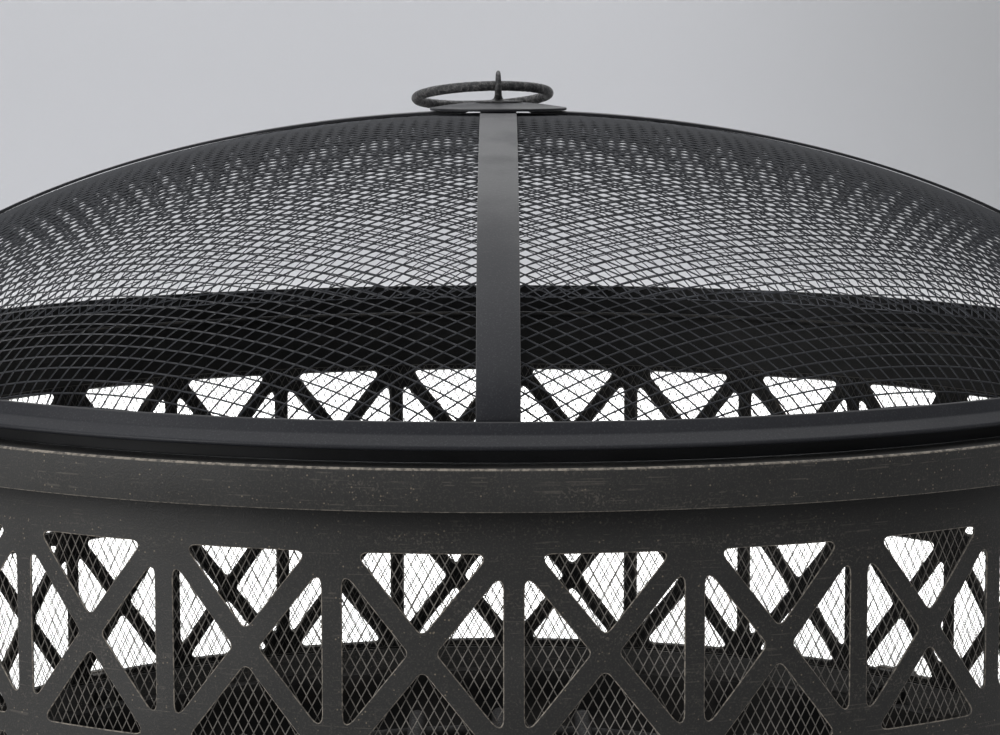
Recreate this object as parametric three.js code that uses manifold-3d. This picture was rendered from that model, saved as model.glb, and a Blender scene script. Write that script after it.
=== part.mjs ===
// A round steel fire pit: a pierced drum with a mesh lining, a fire bowl with a log grate, four legs,
// and a domed mesh spark lid with a ring handle. Millimetres, +Z up, the front towards -Y, and the
// origin on the ground under the middle of the drum.
import * as THREE from "three";
import { mergeGeometries, mergeVertices } from "three/addons/utils/BufferGeometryUtils.js";
import Module from "manifold-3d";

const wasm = await Module();
wasm.setup();

// ---- Driving dimensions -----------------------------------------------------------------------

// Fits
const gap = 0.3; // between pieces that touch
const boltClearance = 0.45; // round a shank, in the radius
const cutMargin = 5; // how far a cutter runs past the sheet that it cuts
const boreReach = 20; // half the length of a cutter for a bolt or a rivet

// Overall
const rimHeight = 370; // ground to the top of the rim
const rimRadius = 375;

// Rim ring: a flat flange that turns down into a lip
const rimOverhang = 14; // of the lip past the wall
const rimFlangeInside = 8.5; // of the flange past the wall, towards the fire
const rimLipDepth = 19;
const rimSheet = 2;

// Drum wall
const wallSheet = 2;
const wallFoot = 22; // of the wall below its last windows
const latticePitch = 12.67; // degrees from bar to bar
const latticeTurn = 1.05; // degrees that the front bar stands to the right of the middle
const latticeTop = 39.4; // from the top of the rim to the first windows
const windowHeight = 87.6;
const barWidth = 9.4;
const braceWidth = 9.6; // of the crossed bars
const latticeRows = 2;

// Mesh lining inside the wall
const liningSheet = 1.2;
const liningGap = 0.8;
const liningMargin = 4; // that the lining runs past the windows

// Seam plate and rivets
const seamPlateSheet = 2;
const seamPlateWidth = 30;
const rivetRadius = 2.4;
const rivetHeadRadius = 4.6;
const rivetHeadHeight = 2.2;
const rivetTailRadius = 4.1;
const rivetCount = 3;
const rivetEndMargin = 18; // from the ends of the seam plate

// Base ring and fire bowl
const baseRingSheet = 2;
const baseRingHeight = 17;
const bowlSheet = 2;
const bowlFlange = 16;
const bowlGroundClearance = 42.3; // under its floor
const bowlFloorRadius = 160;
const bowlFlangeClearance = 8.6; // outside the bowl's flange, for the nuts
const bowlPlay = 1.2; // between the bowl's side and the base ring

// Legs, their bolts and their pads
const legCount = 4;
const legFirstAngle = 45; // degrees from the front
const legWidth = 36;
const legBar = 5;
const legTabHeight = 23;
const legSplay = 36; // of the foot outside the wall
const legFootLength = 26;
const legAnkleHeight = 12.5; // where the leg's curve ends, above its sole
const padHeight = 4;
const padMargin = 2; // of the pad past the foot
const legBoltSpacing = 18;
const boltRadius = 3;
const boltHeadRadius = 5.8;
const boltHeadHeight = 4;
const nutRadius = 5.6;
const nutHeight = 4.2;
const boltTail = 1.5; // of the shank past its nut

// Log grate
const grateRadius = 205;
const grateRod = 10; // thickness of its ring, bars and feet
const grateBars = 7;
const grateBarPitch = 52;
const grateHeight = 78; // from the bowl's floor to the underside of the bars
const grateFootRow = 2; // which bar from the middle stands on feet
const grateFootOffset = 98; // along that bar, from its middle

// Lid ring
const lidRingHeight = 18;
const lidRingInset = 1.8; // of its top, inside the wall's outer face
const lidRingSheet = 2.3;
const lidSkirtHeight = 6;
const lidSkirtSheet = 2.5;
const lidLipReach = 7.5;
const lidLipHeight = 4.4;
const lidBandFlare = 2.2;
const lidBandStep = 0.6; // from the lip up to the foot of the band

// Mesh dome
const domeSheet = 1.2;
const domeRise = 124.2; // from the lid ring to the top of the mesh
const domeFullness = 0.64; // half would be an ellipse, one a parabola
const domeTuck = 7; // that the mesh runs down inside the lid ring
const domeHole = 6;
const domeClearance = 3.2; // between the mesh and the lid ring, where the straps pass

// Straps over the dome
const strapWidth = 19.5;
const strapSheet = 1.5;
const strapTuck = 6; // that a strap runs down inside the lid ring
const joggleReach = 13; // half the length that the upper strap stands on the lower one
const joggleRamp = 6;

// Cap plate, eye bolt, its washer and nut, and the ring handle
const capRadius = 37.5;
const capBend = 1.3; // one would be a plain cone
const capSheet = 1.5;
const eyeFlangeRadius = 13.4;
const eyeFlangeSheet = 1.6;
const eyeStemRadius = 2.6;
const eyeStemHeight = 2.2;
const eyeRod = 4.4;
const eyePlay = 1; // round the handle's rod
const washerRadius = 14;
const washerSheet = 1.6;
const handleRadius = 37; // to the middle of its rod
const handleRod = 6;
const handleLean = 9.4; // degrees below level, lying back on the lid
const handleYaw = 14; // degrees that it lies to the left

// Roundness of the faceted model
const ringSegments = 56;
const domeSegments = 40;
const domeSteps = 9;
const smallSegments = 12;
const eyeSegments = 16;
const capSegments = 24;
const handleSegments = 32;
const rodSides = 8;
const legSteps = 7;

// ---- Derived sizes ----------------------------------------------------------------------------

const radians = THREE.MathUtils.degToRad;

// Heights in the drum and the lid are measured from the top of the rim, downwards negative.
const wallOuterRadius = rimRadius - rimOverhang;
const wallInnerRadius = wallOuterRadius - wallSheet;
const wallTop = -rimSheet - gap;
const rowPitch = windowHeight + barWidth;
const latticeBottom = -latticeTop - latticeRows * rowPitch + barWidth;
const wallBottom = latticeBottom - wallFoot;
const latticeCells = Math.floor(360 / latticePitch);
const firstBarAngle = latticeTurn - Math.round(latticeCells / 4) * latticePitch;
const seamHalf = (360 - latticeCells * latticePitch) / 2; // from the seam to the nearest bar, in degrees
const seamAngle = firstBarAngle - seamHalf;

const liningRadius = wallInnerRadius - liningGap;
const liningTop = -latticeTop + liningMargin;
const liningBottom = latticeBottom - liningMargin;

const widestFacet = radians(Math.max(latticePitch / 4, seamHalf)); // half of it
const facetSlack = wallOuterRadius * (1 - Math.cos(widestFacet));
const baseRingRadius = wallInnerRadius - facetSlack - gap;
const boltLevel = wallBottom + baseRingHeight / 2;
const bowlFlangeRadius = baseRingRadius - bowlFlangeClearance;
const bowlMouthRadius = bowlFlangeRadius - bowlFlange;
const baseRingInner = bowlMouthRadius + bowlSheet + bowlPlay;
const bowlTop = wallBottom + baseRingSheet + gap + bowlSheet;
const bowlFloor = bowlGroundClearance + bowlSheet - rimHeight;
const bowlDepth = bowlTop - bowlFloor;

const grateBarLevel = bowlFloor + grateHeight + grateRod / 2;
const grateRingLevel = grateBarLevel - grateRod - gap;

const domeRadius = wallOuterRadius - lidRingInset - lidRingSheet - domeClearance;
const domeApex = lidRingHeight + domeRise;
const strapLift = gap + strapSheet;
const capBase = domeAt(capRadius).y + strapLift + gap;
const capTop = domeApex + 2 * strapLift + gap + capSheet;
const eyeRadius = (handleRod + eyeRod) / 2 + eyePlay; // to the middle of its rod
const eyeSink = eyeRod / 4; // that the eye runs into its stem
const eyeLevel = capTop + gap + eyeFlangeSheet + eyeStemHeight + eyeRadius - eyeSink;

// ---- Outlines and solids ----------------------------------------------------------------------

/** A point of the dome's outer face at a distance from the axis: its height is above the rim. */
function domeAt(distance) {
  const share = Math.max(0, 1 - (distance / domeRadius) ** 2);
  return new THREE.Vector2(distance, lidRingHeight + domeRise * share ** domeFullness);
}

/** The dome's outline from its central hole to its edge, closer together where it is steeper. */
function domeOutline(from, steps) {
  const first = Math.asin(from / domeRadius);
  return Array.from({ length: steps + 1 }, (_, i) => {
    const turn = first + (Math.PI / 2 - first) * (i / steps);
    return domeAt(domeRadius * Math.sin(turn));
  });
}

/** An open outline moved sideways, to the left of the way it runs. */
function offsetOutline(points, distance) {
  return points.map((point, i) => {
    const before = point.clone().sub(points[Math.max(i - 1, 0)]).normalize();
    const after = points[Math.min(i + 1, points.length - 1)].clone().sub(point).normalize();
    const along = before.clone().add(after).normalize();
    const reach = before.lengthSq() && after.lengthSq() ? along.dot(after) : 1;
    return new THREE.Vector2(-along.y, along.x).multiplyScalar(distance / reach).add(point);
  });
}

/** The closed outline of a sheet that lies to the left of an open one. */
function sheetOutline(points, thickness) {
  return [...points, ...offsetOutline(points, thickness).reverse()];
}

/** An outline of points given as pairs. */
function outline(...pairs) {
  return pairs.map(([x, y]) => new THREE.Vector2(x, y));
}

/** A closed outline of distances and heights, turned about the upright axis. */
function turned(points, segments) {
  const closed = [...points];
  if (THREE.ShapeUtils.area(closed) < 0) closed.reverse();
  closed.push(closed[0].clone());
  return new THREE.LatheGeometry(closed, segments).rotateX(Math.PI / 2);
}

/** A closed outline seen from the front, drawn out towards the front from a distance. */
function drawnForward(points, from, depth) {
  const shape = new THREE.Shape(points);
  const geometry = new THREE.ExtrudeGeometry(shape, { depth, bevelEnabled: false });
  return geometry.translate(0, 0, from).rotateX(Math.PI / 2);
}

/** A closed outline of distances towards the front and heights, drawn out across a width. */
function drawnAcross(points, width) {
  const shape = new THREE.Shape(points);
  const geometry = new THREE.ExtrudeGeometry(shape, { depth: width, bevelEnabled: false });
  return geometry.translate(0, 0, -width / 2).rotateX(Math.PI / 2).rotateZ(-Math.PI / 2);
}

/** A regular polygon's corners: a circle for cutters, a hexagon for nuts. */
function polygon(radius, sides, x = 0, y = 0) {
  return Array.from({ length: sides }, (_, i) => {
    const turn = ((i + 0.5) * 2 * Math.PI) / sides;
    return new THREE.Vector2(x + radius * Math.cos(turn), y + radius * Math.sin(turn));
  });
}

/** A closed geometry as a manifold solid. */
function solidOf(geometry) {
  const bare = geometry.clone();
  for (const name of Object.keys(bare.attributes)) {
    if (name !== "position") bare.deleteAttribute(name);
  }
  const merged = mergeVertices(bare);
  const triVerts = new Uint32Array(merged.index.array);
  const vertProperties = merged.attributes.position.array;
  return new wasm.Manifold(new wasm.Mesh({ numProp: 3, vertProperties, triVerts }));
}

/** A manifold solid as a geometry with flat faces. */
function geometryOf(solid) {
  const mesh = solid.getMesh();
  const indexed = new THREE.BufferGeometry();
  indexed.setAttribute("position", new THREE.BufferAttribute(mesh.vertProperties, 3));
  indexed.setIndex(new THREE.BufferAttribute(mesh.triVerts, 1));
  const geometry = indexed.toNonIndexed();
  geometry.computeVertexNormals();
  return geometry;
}

/** A geometry less the cutters, which stay clear of each other. */
function cut(geometry, cutters) {
  return geometryOf(solidOf(geometry).subtract(solidOf(mergeGeometries(cutters))));
}

/** Geometries that overlap, joined into one solid. */
function joined(...geometries) {
  const solids = geometries.map(solidOf);
  return geometryOf(solids.reduce((whole, solid) => whole.add(solid)));
}

// ---- Finishes ---------------------------------------------------------------------------------

/** A painted or bare metal. */
function metal(color, roughness, metalness) {
  return new THREE.MeshStandardMaterial({ color, roughness, metalness });
}

const finishes = {
  bronze: () => metal(0x2b2723, 0.55, 0.6),
  darkPaint: () => metal(0x232326, 0.6, 0.4),
  expandedMesh: () => metal(0x1c1c1e, 0.6, 0.5),
  bowlEnamel: () => metal(0x191615, 0.7, 0.3),
  bareSteel: () => metal(0x55524e, 0.5, 0.8),
  plastic: () => new THREE.MeshStandardMaterial({ color: 0x111111, roughness: 0.7 }),
};

/** A named mesh in a group. */
function place(group, name, geometry, material) {
  const mesh = new THREE.Mesh(geometry, material);
  mesh.name = name;
  group.add(mesh);
  return mesh;
}

// ---- Drum -------------------------------------------------------------------------------------

/** The drum's outline in plan, with a flat facet at each bar and each crossing, and at the seam. */
function drumPlan(radius) {
  const halves = 2 * latticeCells;
  const steps = Array.from({ length: halves }, (_, i) => i + 0.5);
  return [0, ...steps, halves].map((step) => {
    const turn = radians(firstBarAngle + (step * latticePitch) / 2);
    return new THREE.Vector2(radius * Math.sin(turn), -radius * Math.cos(turn));
  });
}

/** An upright band of sheet round the drum. */
function drumBand(radius, thickness, bottom, top) {
  const shape = new THREE.Shape(drumPlan(radius));
  shape.holes.push(new THREE.Path(drumPlan(radius - thickness)));
  const band = new THREE.ExtrudeGeometry(shape, { depth: top - bottom, bevelEnabled: false });
  return band.translate(0, 0, bottom);
}

/** The four three-cornered windows of one cell, round its crossed braces. */
function cellWindows() {
  const width = wallOuterRadius * radians(latticePitch) - barWidth;
  const [w, h] = [width / 2, windowHeight / 2];
  const slant = (braceWidth / 2) * Math.hypot(w, h);
  const top = outline([0, slant / w], [w - slant / h, h], [slant / h - w, h]);
  const side = outline([slant / h, 0], [w, slant / w - h], [w, h - slant / w]);
  const opposite = (points) => points.map((p) => p.clone().negate());
  return [top, side, opposite(top), opposite(side)];
}

/** Cutters for every window of the lattice. */
function windowCutters() {
  const cutters = [];
  for (let row = 0; row < latticeRows; row++) {
    const level = -latticeTop - windowHeight / 2 - row * rowPitch;
    for (let cell = 0; cell < latticeCells; cell++) {
      const turn = radians(firstBarAngle + (cell + 0.5) * latticePitch);
      for (const points of cellWindows()) {
        const depth = wallSheet + 2 * cutMargin;
        const window = drawnForward(points, wallInnerRadius - cutMargin, depth);
        cutters.push(window.translate(0, 0, level).rotateZ(turn));
      }
    }
  }
  return cutters;
}

/** A cutter for a round hole through the front of the drum, at a place across it and a level. */
function boreCutter(radius, across, level) {
  const hole = polygon(radius + boltClearance, rodSides, across);
  return drawnForward(hole, wallOuterRadius - boreReach, 2 * boreReach).translate(0, 0, level);
}

/** Cutters for one leg's two bolts, before they are turned to the leg. */
function boltCutters() {
  return [-1, 1].map((side) => boreCutter(boltRadius, (side * legBoltSpacing) / 2, boltLevel));
}

/** Cutters for every leg's bolts, through the wall and the base ring. */
function legBoltCutters() {
  return legAngles().flatMap((angle) => boltCutters().map((cutter) => cutter.rotateZ(radians(angle))));
}

/** The legs' angles round the drum, in degrees from the front. */
function legAngles() {
  return Array.from({ length: legCount }, (_, i) => legFirstAngle + (i * 360) / legCount);
}

/** The seam plate's lowest and highest levels. */
function seamPlateSpan() {
  return [latticeBottom + gap, -latticeTop + 4 * liningMargin];
}

/** The levels of the seam's rivets. */
function rivetLevels() {
  const [bottom, top] = seamPlateSpan();
  const step = (top - bottom - 2 * rivetEndMargin) / (rivetCount - 1);
  return Array.from({ length: rivetCount }, (_, i) => bottom + rivetEndMargin + i * step);
}

/** Cutters for the seam's rivets, before they are turned to the seam. */
function rivetCutters() {
  return rivetLevels().map((level) => boreCutter(rivetRadius, 0, level));
}

/** A wedge of the drum from one angle to another, in degrees from the front. */
function drumWedge(from, to) {
  const reach = wallOuterRadius + boreReach;
  const slack = THREE.MathUtils.radToDeg(gap / 2 / wallOuterRadius);
  const turns = [from + slack, (from + to) / 2, to - slack].map(radians);
  const corners = turns.map((turn) => new THREE.Vector2(reach * Math.sin(turn), -reach * Math.cos(turn)));
  corners[1].multiplyScalar(2);
  const shape = new THREE.Shape([new THREE.Vector2(0, 0), ...corners]);
  const depth = wallTop - wallBottom + 2 * cutMargin;
  return new THREE.ExtrudeGeometry(shape, { depth, bevelEnabled: false }).translate(0, 0, wallBottom - cutMargin);
}

/** The pierced wall, in panels that meet at the seam and in the middle of three bars. */
function addWall(drum) {
  const band = drumBand(wallOuterRadius, wallSheet, wallBottom, wallTop);
  const rivetHoles = rivetCutters().map((cutter) => cutter.rotateZ(radians(seamAngle)));
  const wall = solidOf(cut(band, [...windowCutters(), ...legBoltCutters(), ...rivetHoles]));
  const barAngle = (quarter) => firstBarAngle + Math.round((quarter * latticeCells) / 4) * latticePitch;
  const joints = [seamAngle, barAngle(1), barAngle(2), barAngle(3), seamAngle + 360];
  ["left_front", "right_front", "right_rear", "left_rear"].forEach((side, i) => {
    const panel = wall.intersect(solidOf(drumWedge(joints[i], joints[i + 1])));
    place(drum, `drum_wall_${side}`, geometryOf(panel), finishes.bronze());
  });
}

function addLining(drum) {
  const band = drumBand(liningRadius, liningSheet, liningBottom, liningTop);
  const rivetHoles = rivetCutters().map((cutter) => cutter.rotateZ(radians(seamAngle)));
  place(drum, "mesh_lining", cut(band, rivetHoles), finishes.expandedMesh());
}

function addSeam(drum) {
  const seam = new THREE.Group();
  seam.rotation.z = radians(seamAngle);
  drum.add(seam);
  const [bottom, top] = seamPlateSpan();
  const front = (liningRadius - liningSheet) * Math.cos(radians(seamHalf)) - gap;
  const half = seamPlateWidth / 2;
  const face = outline([-half, bottom], [half, bottom], [half, top], [-half, top]);
  const plate = drawnForward(face, front - seamPlateSheet, seamPlateSheet);
  place(seam, "seam_plate", cut(plate, rivetCutters()), finishes.bareSteel());
  const inside = front - seamPlateSheet - gap;
  const outside = wallOuterRadius * Math.cos(radians(seamHalf)) + gap;
  const tail = inside - rivetHeadHeight;
  const profile = outline(
    [0, tail],
    [rivetTailRadius, tail],
    [rivetTailRadius, inside],
    [rivetRadius, inside],
    [rivetRadius, outside],
    [rivetHeadRadius, outside],
    [rivetHeadRadius * Math.SQRT1_2, outside + rivetHeadHeight * Math.SQRT1_2],
    [0, outside + rivetHeadHeight],
  );
  rivetLevels().forEach((level, i) => {
    const rivet = turned(profile, rodSides);
    const mesh = place(seam, `seam_rivet_${i + 1}`, rivet, finishes.bareSteel());
    mesh.rotation.x = Math.PI / 2;
    mesh.position.z = level;
  });
}

function addRim(drum) {
  const inner = wallOuterRadius - rimFlangeInside;
  const face = outline([rimRadius, -rimLipDepth], [rimRadius, 0], [inner, 0]);
  const rim = turned(sheetOutline(face, rimSheet), ringSegments);
  place(drum, "rim_ring", rim, finishes.bronze());
}

function addBaseRing(drum) {
  const top = wallBottom + baseRingHeight;
  const face = outline([baseRingRadius, top], [baseRingRadius, wallBottom], [baseRingInner, wallBottom]);
  const ring = turned(sheetOutline(face, -baseRingSheet), ringSegments);
  place(drum, "base_ring", cut(ring, legBoltCutters()), finishes.bronze());
}

function addBowl(drum) {
  const steps = 5;
  const curve = Array.from({ length: steps + 1 }, (_, i) => {
    const turn = (i / steps) * (Math.PI / 2);
    const reach = (bowlMouthRadius - bowlFloorRadius) * Math.cos(turn);
    return new THREE.Vector2(bowlFloorRadius + reach, bowlTop - bowlDepth * Math.sin(turn));
  });
  const face = [new THREE.Vector2(bowlFlangeRadius, bowlTop), ...curve, new THREE.Vector2(0, bowlFloor)];
  place(drum, "fire_bowl", turned(sheetOutline(face, bowlSheet), domeSegments), finishes.bowlEnamel());
}

// ---- Legs -------------------------------------------------------------------------------------

/** The outline of a leg's outer face, from its tab down to the tip of its foot. */
function legOutline() {
  const tab = wallOuterRadius + gap + legBar;
  const tabTop = wallBottom + legTabHeight;
  const sole = -rimHeight + padHeight + gap;
  const ankle = tab + legSplay;
  const bend = new THREE.CubicBezierCurve(
    new THREE.Vector2(tab, wallBottom),
    new THREE.Vector2(tab, (2 * wallBottom + sole) / 3),
    new THREE.Vector2(ankle, (wallBottom + 2 * sole) / 3),
    new THREE.Vector2(ankle, sole + legAnkleHeight),
  );
  const curve = bend.getPoints(legSteps);
  const heel = new THREE.Vector2(ankle + legBar, sole + legBar);
  const tip = new THREE.Vector2(ankle + legFootLength, sole + legBar);
  return [new THREE.Vector2(tab, tabTop), ...curve, heel, tip];
}

/** A bolt with a six-sided head, its axis towards the front and its seat at a distance. */
function boltGeometry(seat, length) {
  const head = drawnForward(polygon(boltHeadRadius, 6), seat, boltHeadHeight);
  const shank = drawnForward(polygon(boltRadius, rodSides), seat - length, length + boltHeadHeight / 2);
  return joined(head, shank);
}

/** A six-sided nut with its axis towards the front and its seat at a distance. */
function nutGeometry(seat) {
  const body = drawnForward(polygon(nutRadius, 6), seat - nutHeight, nutHeight);
  const bore = drawnForward(polygon(boltRadius + gap, rodSides), seat - 2 * nutHeight, 3 * nutHeight);
  return cut(body, [bore]);
}

function addLeg(drum, angle, number) {
  const leg = new THREE.Group();
  leg.rotation.z = radians(angle);
  drum.add(leg);
  const profile = legOutline();
  const bar = drawnAcross(sheetOutline(profile, -legBar), legWidth);
  place(leg, `leg_${number}`, cut(bar, boltCutters()), finishes.bronze());
  const tip = profile.at(-1).x;
  const heel = profile.at(-2).x;
  const padLength = tip - heel + 2 * legBar + padMargin;
  const pad = new THREE.BoxGeometry(legWidth + 2 * padMargin, padLength, padHeight);
  const padMesh = place(leg, `foot_pad_${number}`, pad, finishes.plastic());
  padMesh.position.set(0, -(tip + padMargin - padLength / 2), -rimHeight + padHeight / 2);
  const seat = wallOuterRadius + legBar + 2 * gap;
  const nutSeat = (baseRingRadius - baseRingSheet) * Math.cos(Math.PI / ringSegments) - 2 * gap;
  const length = seat - nutSeat + nutHeight + boltTail;
  ["a", "b"].forEach((letter, i) => {
    const across = (i - 0.5) * legBoltSpacing;
    const bolt = place(leg, `leg_bolt_${number}${letter}`, boltGeometry(seat, length), finishes.bareSteel());
    const nut = place(leg, `leg_nut_${number}${letter}`, nutGeometry(nutSeat), finishes.bareSteel());
    bolt.position.set(across, 0, boltLevel);
    nut.position.set(across, 0, boltLevel);
  });
}

// ---- Log grate --------------------------------------------------------------------------------

/** A round rod along Z, its middle at the origin. */
function rodGeometry(length) {
  return new THREE.CylinderGeometry(grateRod / 2, grateRod / 2, length, rodSides).rotateX(Math.PI / 2);
}

function addLogGrate(drum) {
  const ring = new THREE.TorusGeometry(grateRadius, grateRod / 2, rodSides, handleSegments);
  place(drum, "log_grate_ring", ring, finishes.bowlEnamel()).position.z = grateRingLevel;
  const middle = (grateBars - 1) / 2;
  for (let i = 0; i < grateBars; i++) {
    const across = (i - middle) * grateBarPitch;
    const length = 2 * Math.sqrt((grateRadius + grateRod / 2) ** 2 - across ** 2);
    const bar = place(drum, `log_grate_bar_${i + 1}`, rodGeometry(length), finishes.bowlEnamel());
    bar.rotation.x = Math.PI / 2;
    bar.position.set(across, 0, grateBarLevel);
  }
  const footTop = grateBarLevel - grateRod / 2 - gap;
  const footLength = footTop - bowlFloor - gap;
  const corners = [[-1, -1], [1, -1], [1, 1], [-1, 1]];
  corners.forEach(([x, y], i) => {
    const foot = place(drum, `log_grate_foot_${i + 1}`, rodGeometry(footLength), finishes.bowlEnamel());
    foot.position.set(x * grateFootRow * grateBarPitch, y * grateFootOffset, footTop - footLength / 2);
  });
}

// ---- Lid --------------------------------------------------------------------------------------

function addLidRing(lid) {
  const top = wallOuterRadius - lidRingInset;
  const inner = top - lidRingSheet;
  const skirt = inner + lidSkirtSheet;
  const lipBottom = gap + lidSkirtHeight;
  const lipTop = lipBottom + lidLipHeight;
  const profile = outline(
    [inner, gap],
    [skirt, gap],
    [skirt, lipBottom],
    [skirt + lidLipReach, lipBottom],
    [skirt + lidLipReach, lipTop],
    [top + lidBandFlare, lipTop + lidBandStep],
    [top, lidRingHeight],
    [inner, lidRingHeight],
  );
  place(lid, "lid_ring", turned(profile, ringSegments), finishes.darkPaint());
}

/** The dome's sheet from its central hole down into the lid ring. */
function domeProfile() {
  const face = domeOutline(domeHole, domeSteps);
  face.push(new THREE.Vector2(domeRadius, lidRingHeight - domeTuck));
  return sheetOutline(face, -domeSheet);
}

function addDome(lid) {
  const shell = solidOf(turned(domeProfile(), domeSegments));
  const reach = domeRadius + cutMargin;
  const quarter = new THREE.BoxGeometry(reach, reach, 2 * domeApex);
  quarter.translate(reach / 2 + gap / 2, reach / 2 + gap / 2, domeApex);
  ["right_rear", "left_rear", "left_front", "right_front"].forEach((side, i) => {
    const wedge = solidOf(quarter.clone().rotateZ((i * Math.PI) / 2));
    place(lid, `dome_mesh_${side}`, geometryOf(shell.intersect(wedge)), finishes.expandedMesh());
  });
}

/** A strap over the dome, with its middle raised by a lift where it crosses the other strap. */
function strapGeometry(lift) {
  const slope = domeOutline(domeHole, domeSteps).slice(1);
  const end = new THREE.Vector2(domeRadius, lidRingHeight - strapTuck);
  const under = offsetOutline([domeAt(joggleReach + joggleRamp), ...slope, end], gap);
  const crown = new THREE.Vector2(joggleReach, domeApex + gap + lift);
  const right = [crown, ...under];
  const left = right.map((p) => new THREE.Vector2(-p.x, p.y)).reverse();
  const strap = drawnAcross(sheetOutline([...left, ...right], strapSheet), strapWidth);
  const hole = new THREE.Shape(polygon(boltRadius + boltClearance, smallSegments));
  const cutter = new THREE.ExtrudeGeometry(hole, { depth: 2 * domeApex, bevelEnabled: false });
  return cut(strap, [cutter]);
}

function addStraps(lid) {
  place(lid, "strap_front_rear", strapGeometry(0), finishes.darkPaint());
  const across = place(lid, "strap_left_right", strapGeometry(strapLift), finishes.darkPaint());
  across.rotation.z = Math.PI / 2;
}

function addCap(lid) {
  const hole = boltRadius + boltClearance;
  const flat = Math.hypot(joggleReach, strapWidth / 2);
  const steps = 4;
  const slope = Array.from({ length: steps + 1 }, (_, i) => {
    const share = i / steps;
    const fall = (capTop - capSheet - capBase) * share ** capBend;
    return new THREE.Vector2(flat + (capRadius - flat) * share, capTop - fall);
  });
  const face = sheetOutline([new THREE.Vector2(hole, capTop), ...slope], -capSheet);
  place(lid, "cap_plate", turned(face, capSegments), finishes.darkPaint());
}

function addEyeBolt(lid) {
  const seat = capTop + gap;
  const shoulder = seat + eyeFlangeSheet;
  const stemTop = shoulder + eyeStemHeight;
  const washerTop = domeAt(2 * washerRadius).y - domeSheet - gap;
  const nutTop = washerTop - washerSheet - gap;
  const end = nutTop - nutHeight - boltTail;
  const post = outline(
    [0, end],
    [boltRadius, end],
    [boltRadius, seat],
    [eyeFlangeRadius, seat],
    [eyeFlangeRadius, shoulder - eyeFlangeSheet / 2],
    [2 * eyeStemRadius, shoulder],
    [eyeStemRadius, stemTop],
    [0, stemTop],
  );
  const eye = new THREE.TorusGeometry(eyeRadius, eyeRod / 2, rodSides, eyeSegments);
  eye.rotateY(Math.PI / 2).translate(0, 0, eyeLevel);
  place(lid, "eye_bolt", joined(turned(post, smallSegments), eye), finishes.darkPaint());
  const bore = boltRadius + boltClearance;
  const washer = outline(
    [bore, washerTop - washerSheet],
    [washerRadius, washerTop - washerSheet],
    [washerRadius, washerTop],
    [bore, washerTop],
  );
  place(lid, "inner_washer", turned(washer, smallSegments), finishes.bareSteel());
  const nut = place(lid, "inner_nut", nutGeometry(0), finishes.bareSteel());
  nut.rotation.x = -Math.PI / 2;
  nut.position.z = nutTop;
}

function addHandle(lid) {
  const yaw = new THREE.Group();
  yaw.rotation.z = radians(handleYaw);
  yaw.position.z = eyeLevel;
  lid.add(yaw);
  const lean = new THREE.Group();
  lean.rotation.x = -radians(handleLean);
  yaw.add(lean);
  const ring = new THREE.TorusGeometry(handleRadius, handleRod / 2, rodSides, handleSegments);
  place(lean, "ring_handle", ring, finishes.darkPaint()).position.y = handleRadius;
}

// ---- Assembly ---------------------------------------------------------------------------------

const firePit = new THREE.Group();
firePit.name = "fire_pit";
const drum = new THREE.Group();
const lid = new THREE.Group();
drum.position.z = rimHeight;
lid.position.z = rimHeight;
firePit.add(drum, lid);

addRim(drum);
addWall(drum);
addLining(drum);
addSeam(drum);
addBaseRing(drum);
addBowl(drum);
legAngles().forEach((angle, i) => addLeg(drum, angle, i + 1));
addLogGrate(drum);

addLidRing(lid);
addDome(lid);
addStraps(lid);
addCap(lid);
addEyeBolt(lid);
addHandle(lid);

export default firePit;
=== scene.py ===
"""A round steel fire pit with a pierced drum, a log grate and a domed mesh spark lid.

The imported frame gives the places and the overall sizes. Each sub-assembly is a class that builds
its fine meshes round the frame's nodes, in metres, and dresses them in procedural finishes. Front
is towards -Y, and angles round the pit are counted from the front towards the right.
"""

import logging
import math
from bisect import bisect_right
from dataclasses import dataclass, field
from enum import Enum
from typing import Callable, Sequence

import bmesh
import bpy
from bmesh.types import BMesh, BMFace, BMVert
from mathutils import Matrix, Vector, noise


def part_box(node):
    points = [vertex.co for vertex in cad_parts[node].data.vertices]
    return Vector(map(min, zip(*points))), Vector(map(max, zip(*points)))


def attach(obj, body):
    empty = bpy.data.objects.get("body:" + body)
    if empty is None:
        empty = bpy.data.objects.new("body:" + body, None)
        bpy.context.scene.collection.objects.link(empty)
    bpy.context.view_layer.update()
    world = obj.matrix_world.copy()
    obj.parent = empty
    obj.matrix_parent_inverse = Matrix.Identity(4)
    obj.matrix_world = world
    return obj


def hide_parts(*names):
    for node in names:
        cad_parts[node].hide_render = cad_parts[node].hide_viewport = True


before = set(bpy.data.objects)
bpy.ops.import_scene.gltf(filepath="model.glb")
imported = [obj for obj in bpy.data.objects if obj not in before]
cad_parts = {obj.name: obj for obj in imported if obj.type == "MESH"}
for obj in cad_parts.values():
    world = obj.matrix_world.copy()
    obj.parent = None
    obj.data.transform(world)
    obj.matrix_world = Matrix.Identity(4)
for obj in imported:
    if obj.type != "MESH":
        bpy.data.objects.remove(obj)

LOG = logging.getLogger("fire_pit")
TAU = 2 * math.pi
MERGE = 2e-6
CUT = 1e-6
STITCH = 1e-5
# How deep the painted shading goes on the faces that are marked for it.
SHADING_DEPTH = 0.85
HEXAGON = 6
RUB = "rub"
# The mesh attribute named soot marks painted shading, not smoke: painted shade in the drum and the lid,
# painted light on the dome's inner faces.
PAINTED_SHADING = "soot"

Point = tuple[float, float]
Triple = tuple[float, float, float]
Socket = bpy.types.NodeSocket


class Body(Enum):
    """The bodies that move on their own."""

    PIT = "pit"
    GRATE = "log_grate"
    LID = "lid"
    HANDLE = "handle"


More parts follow.
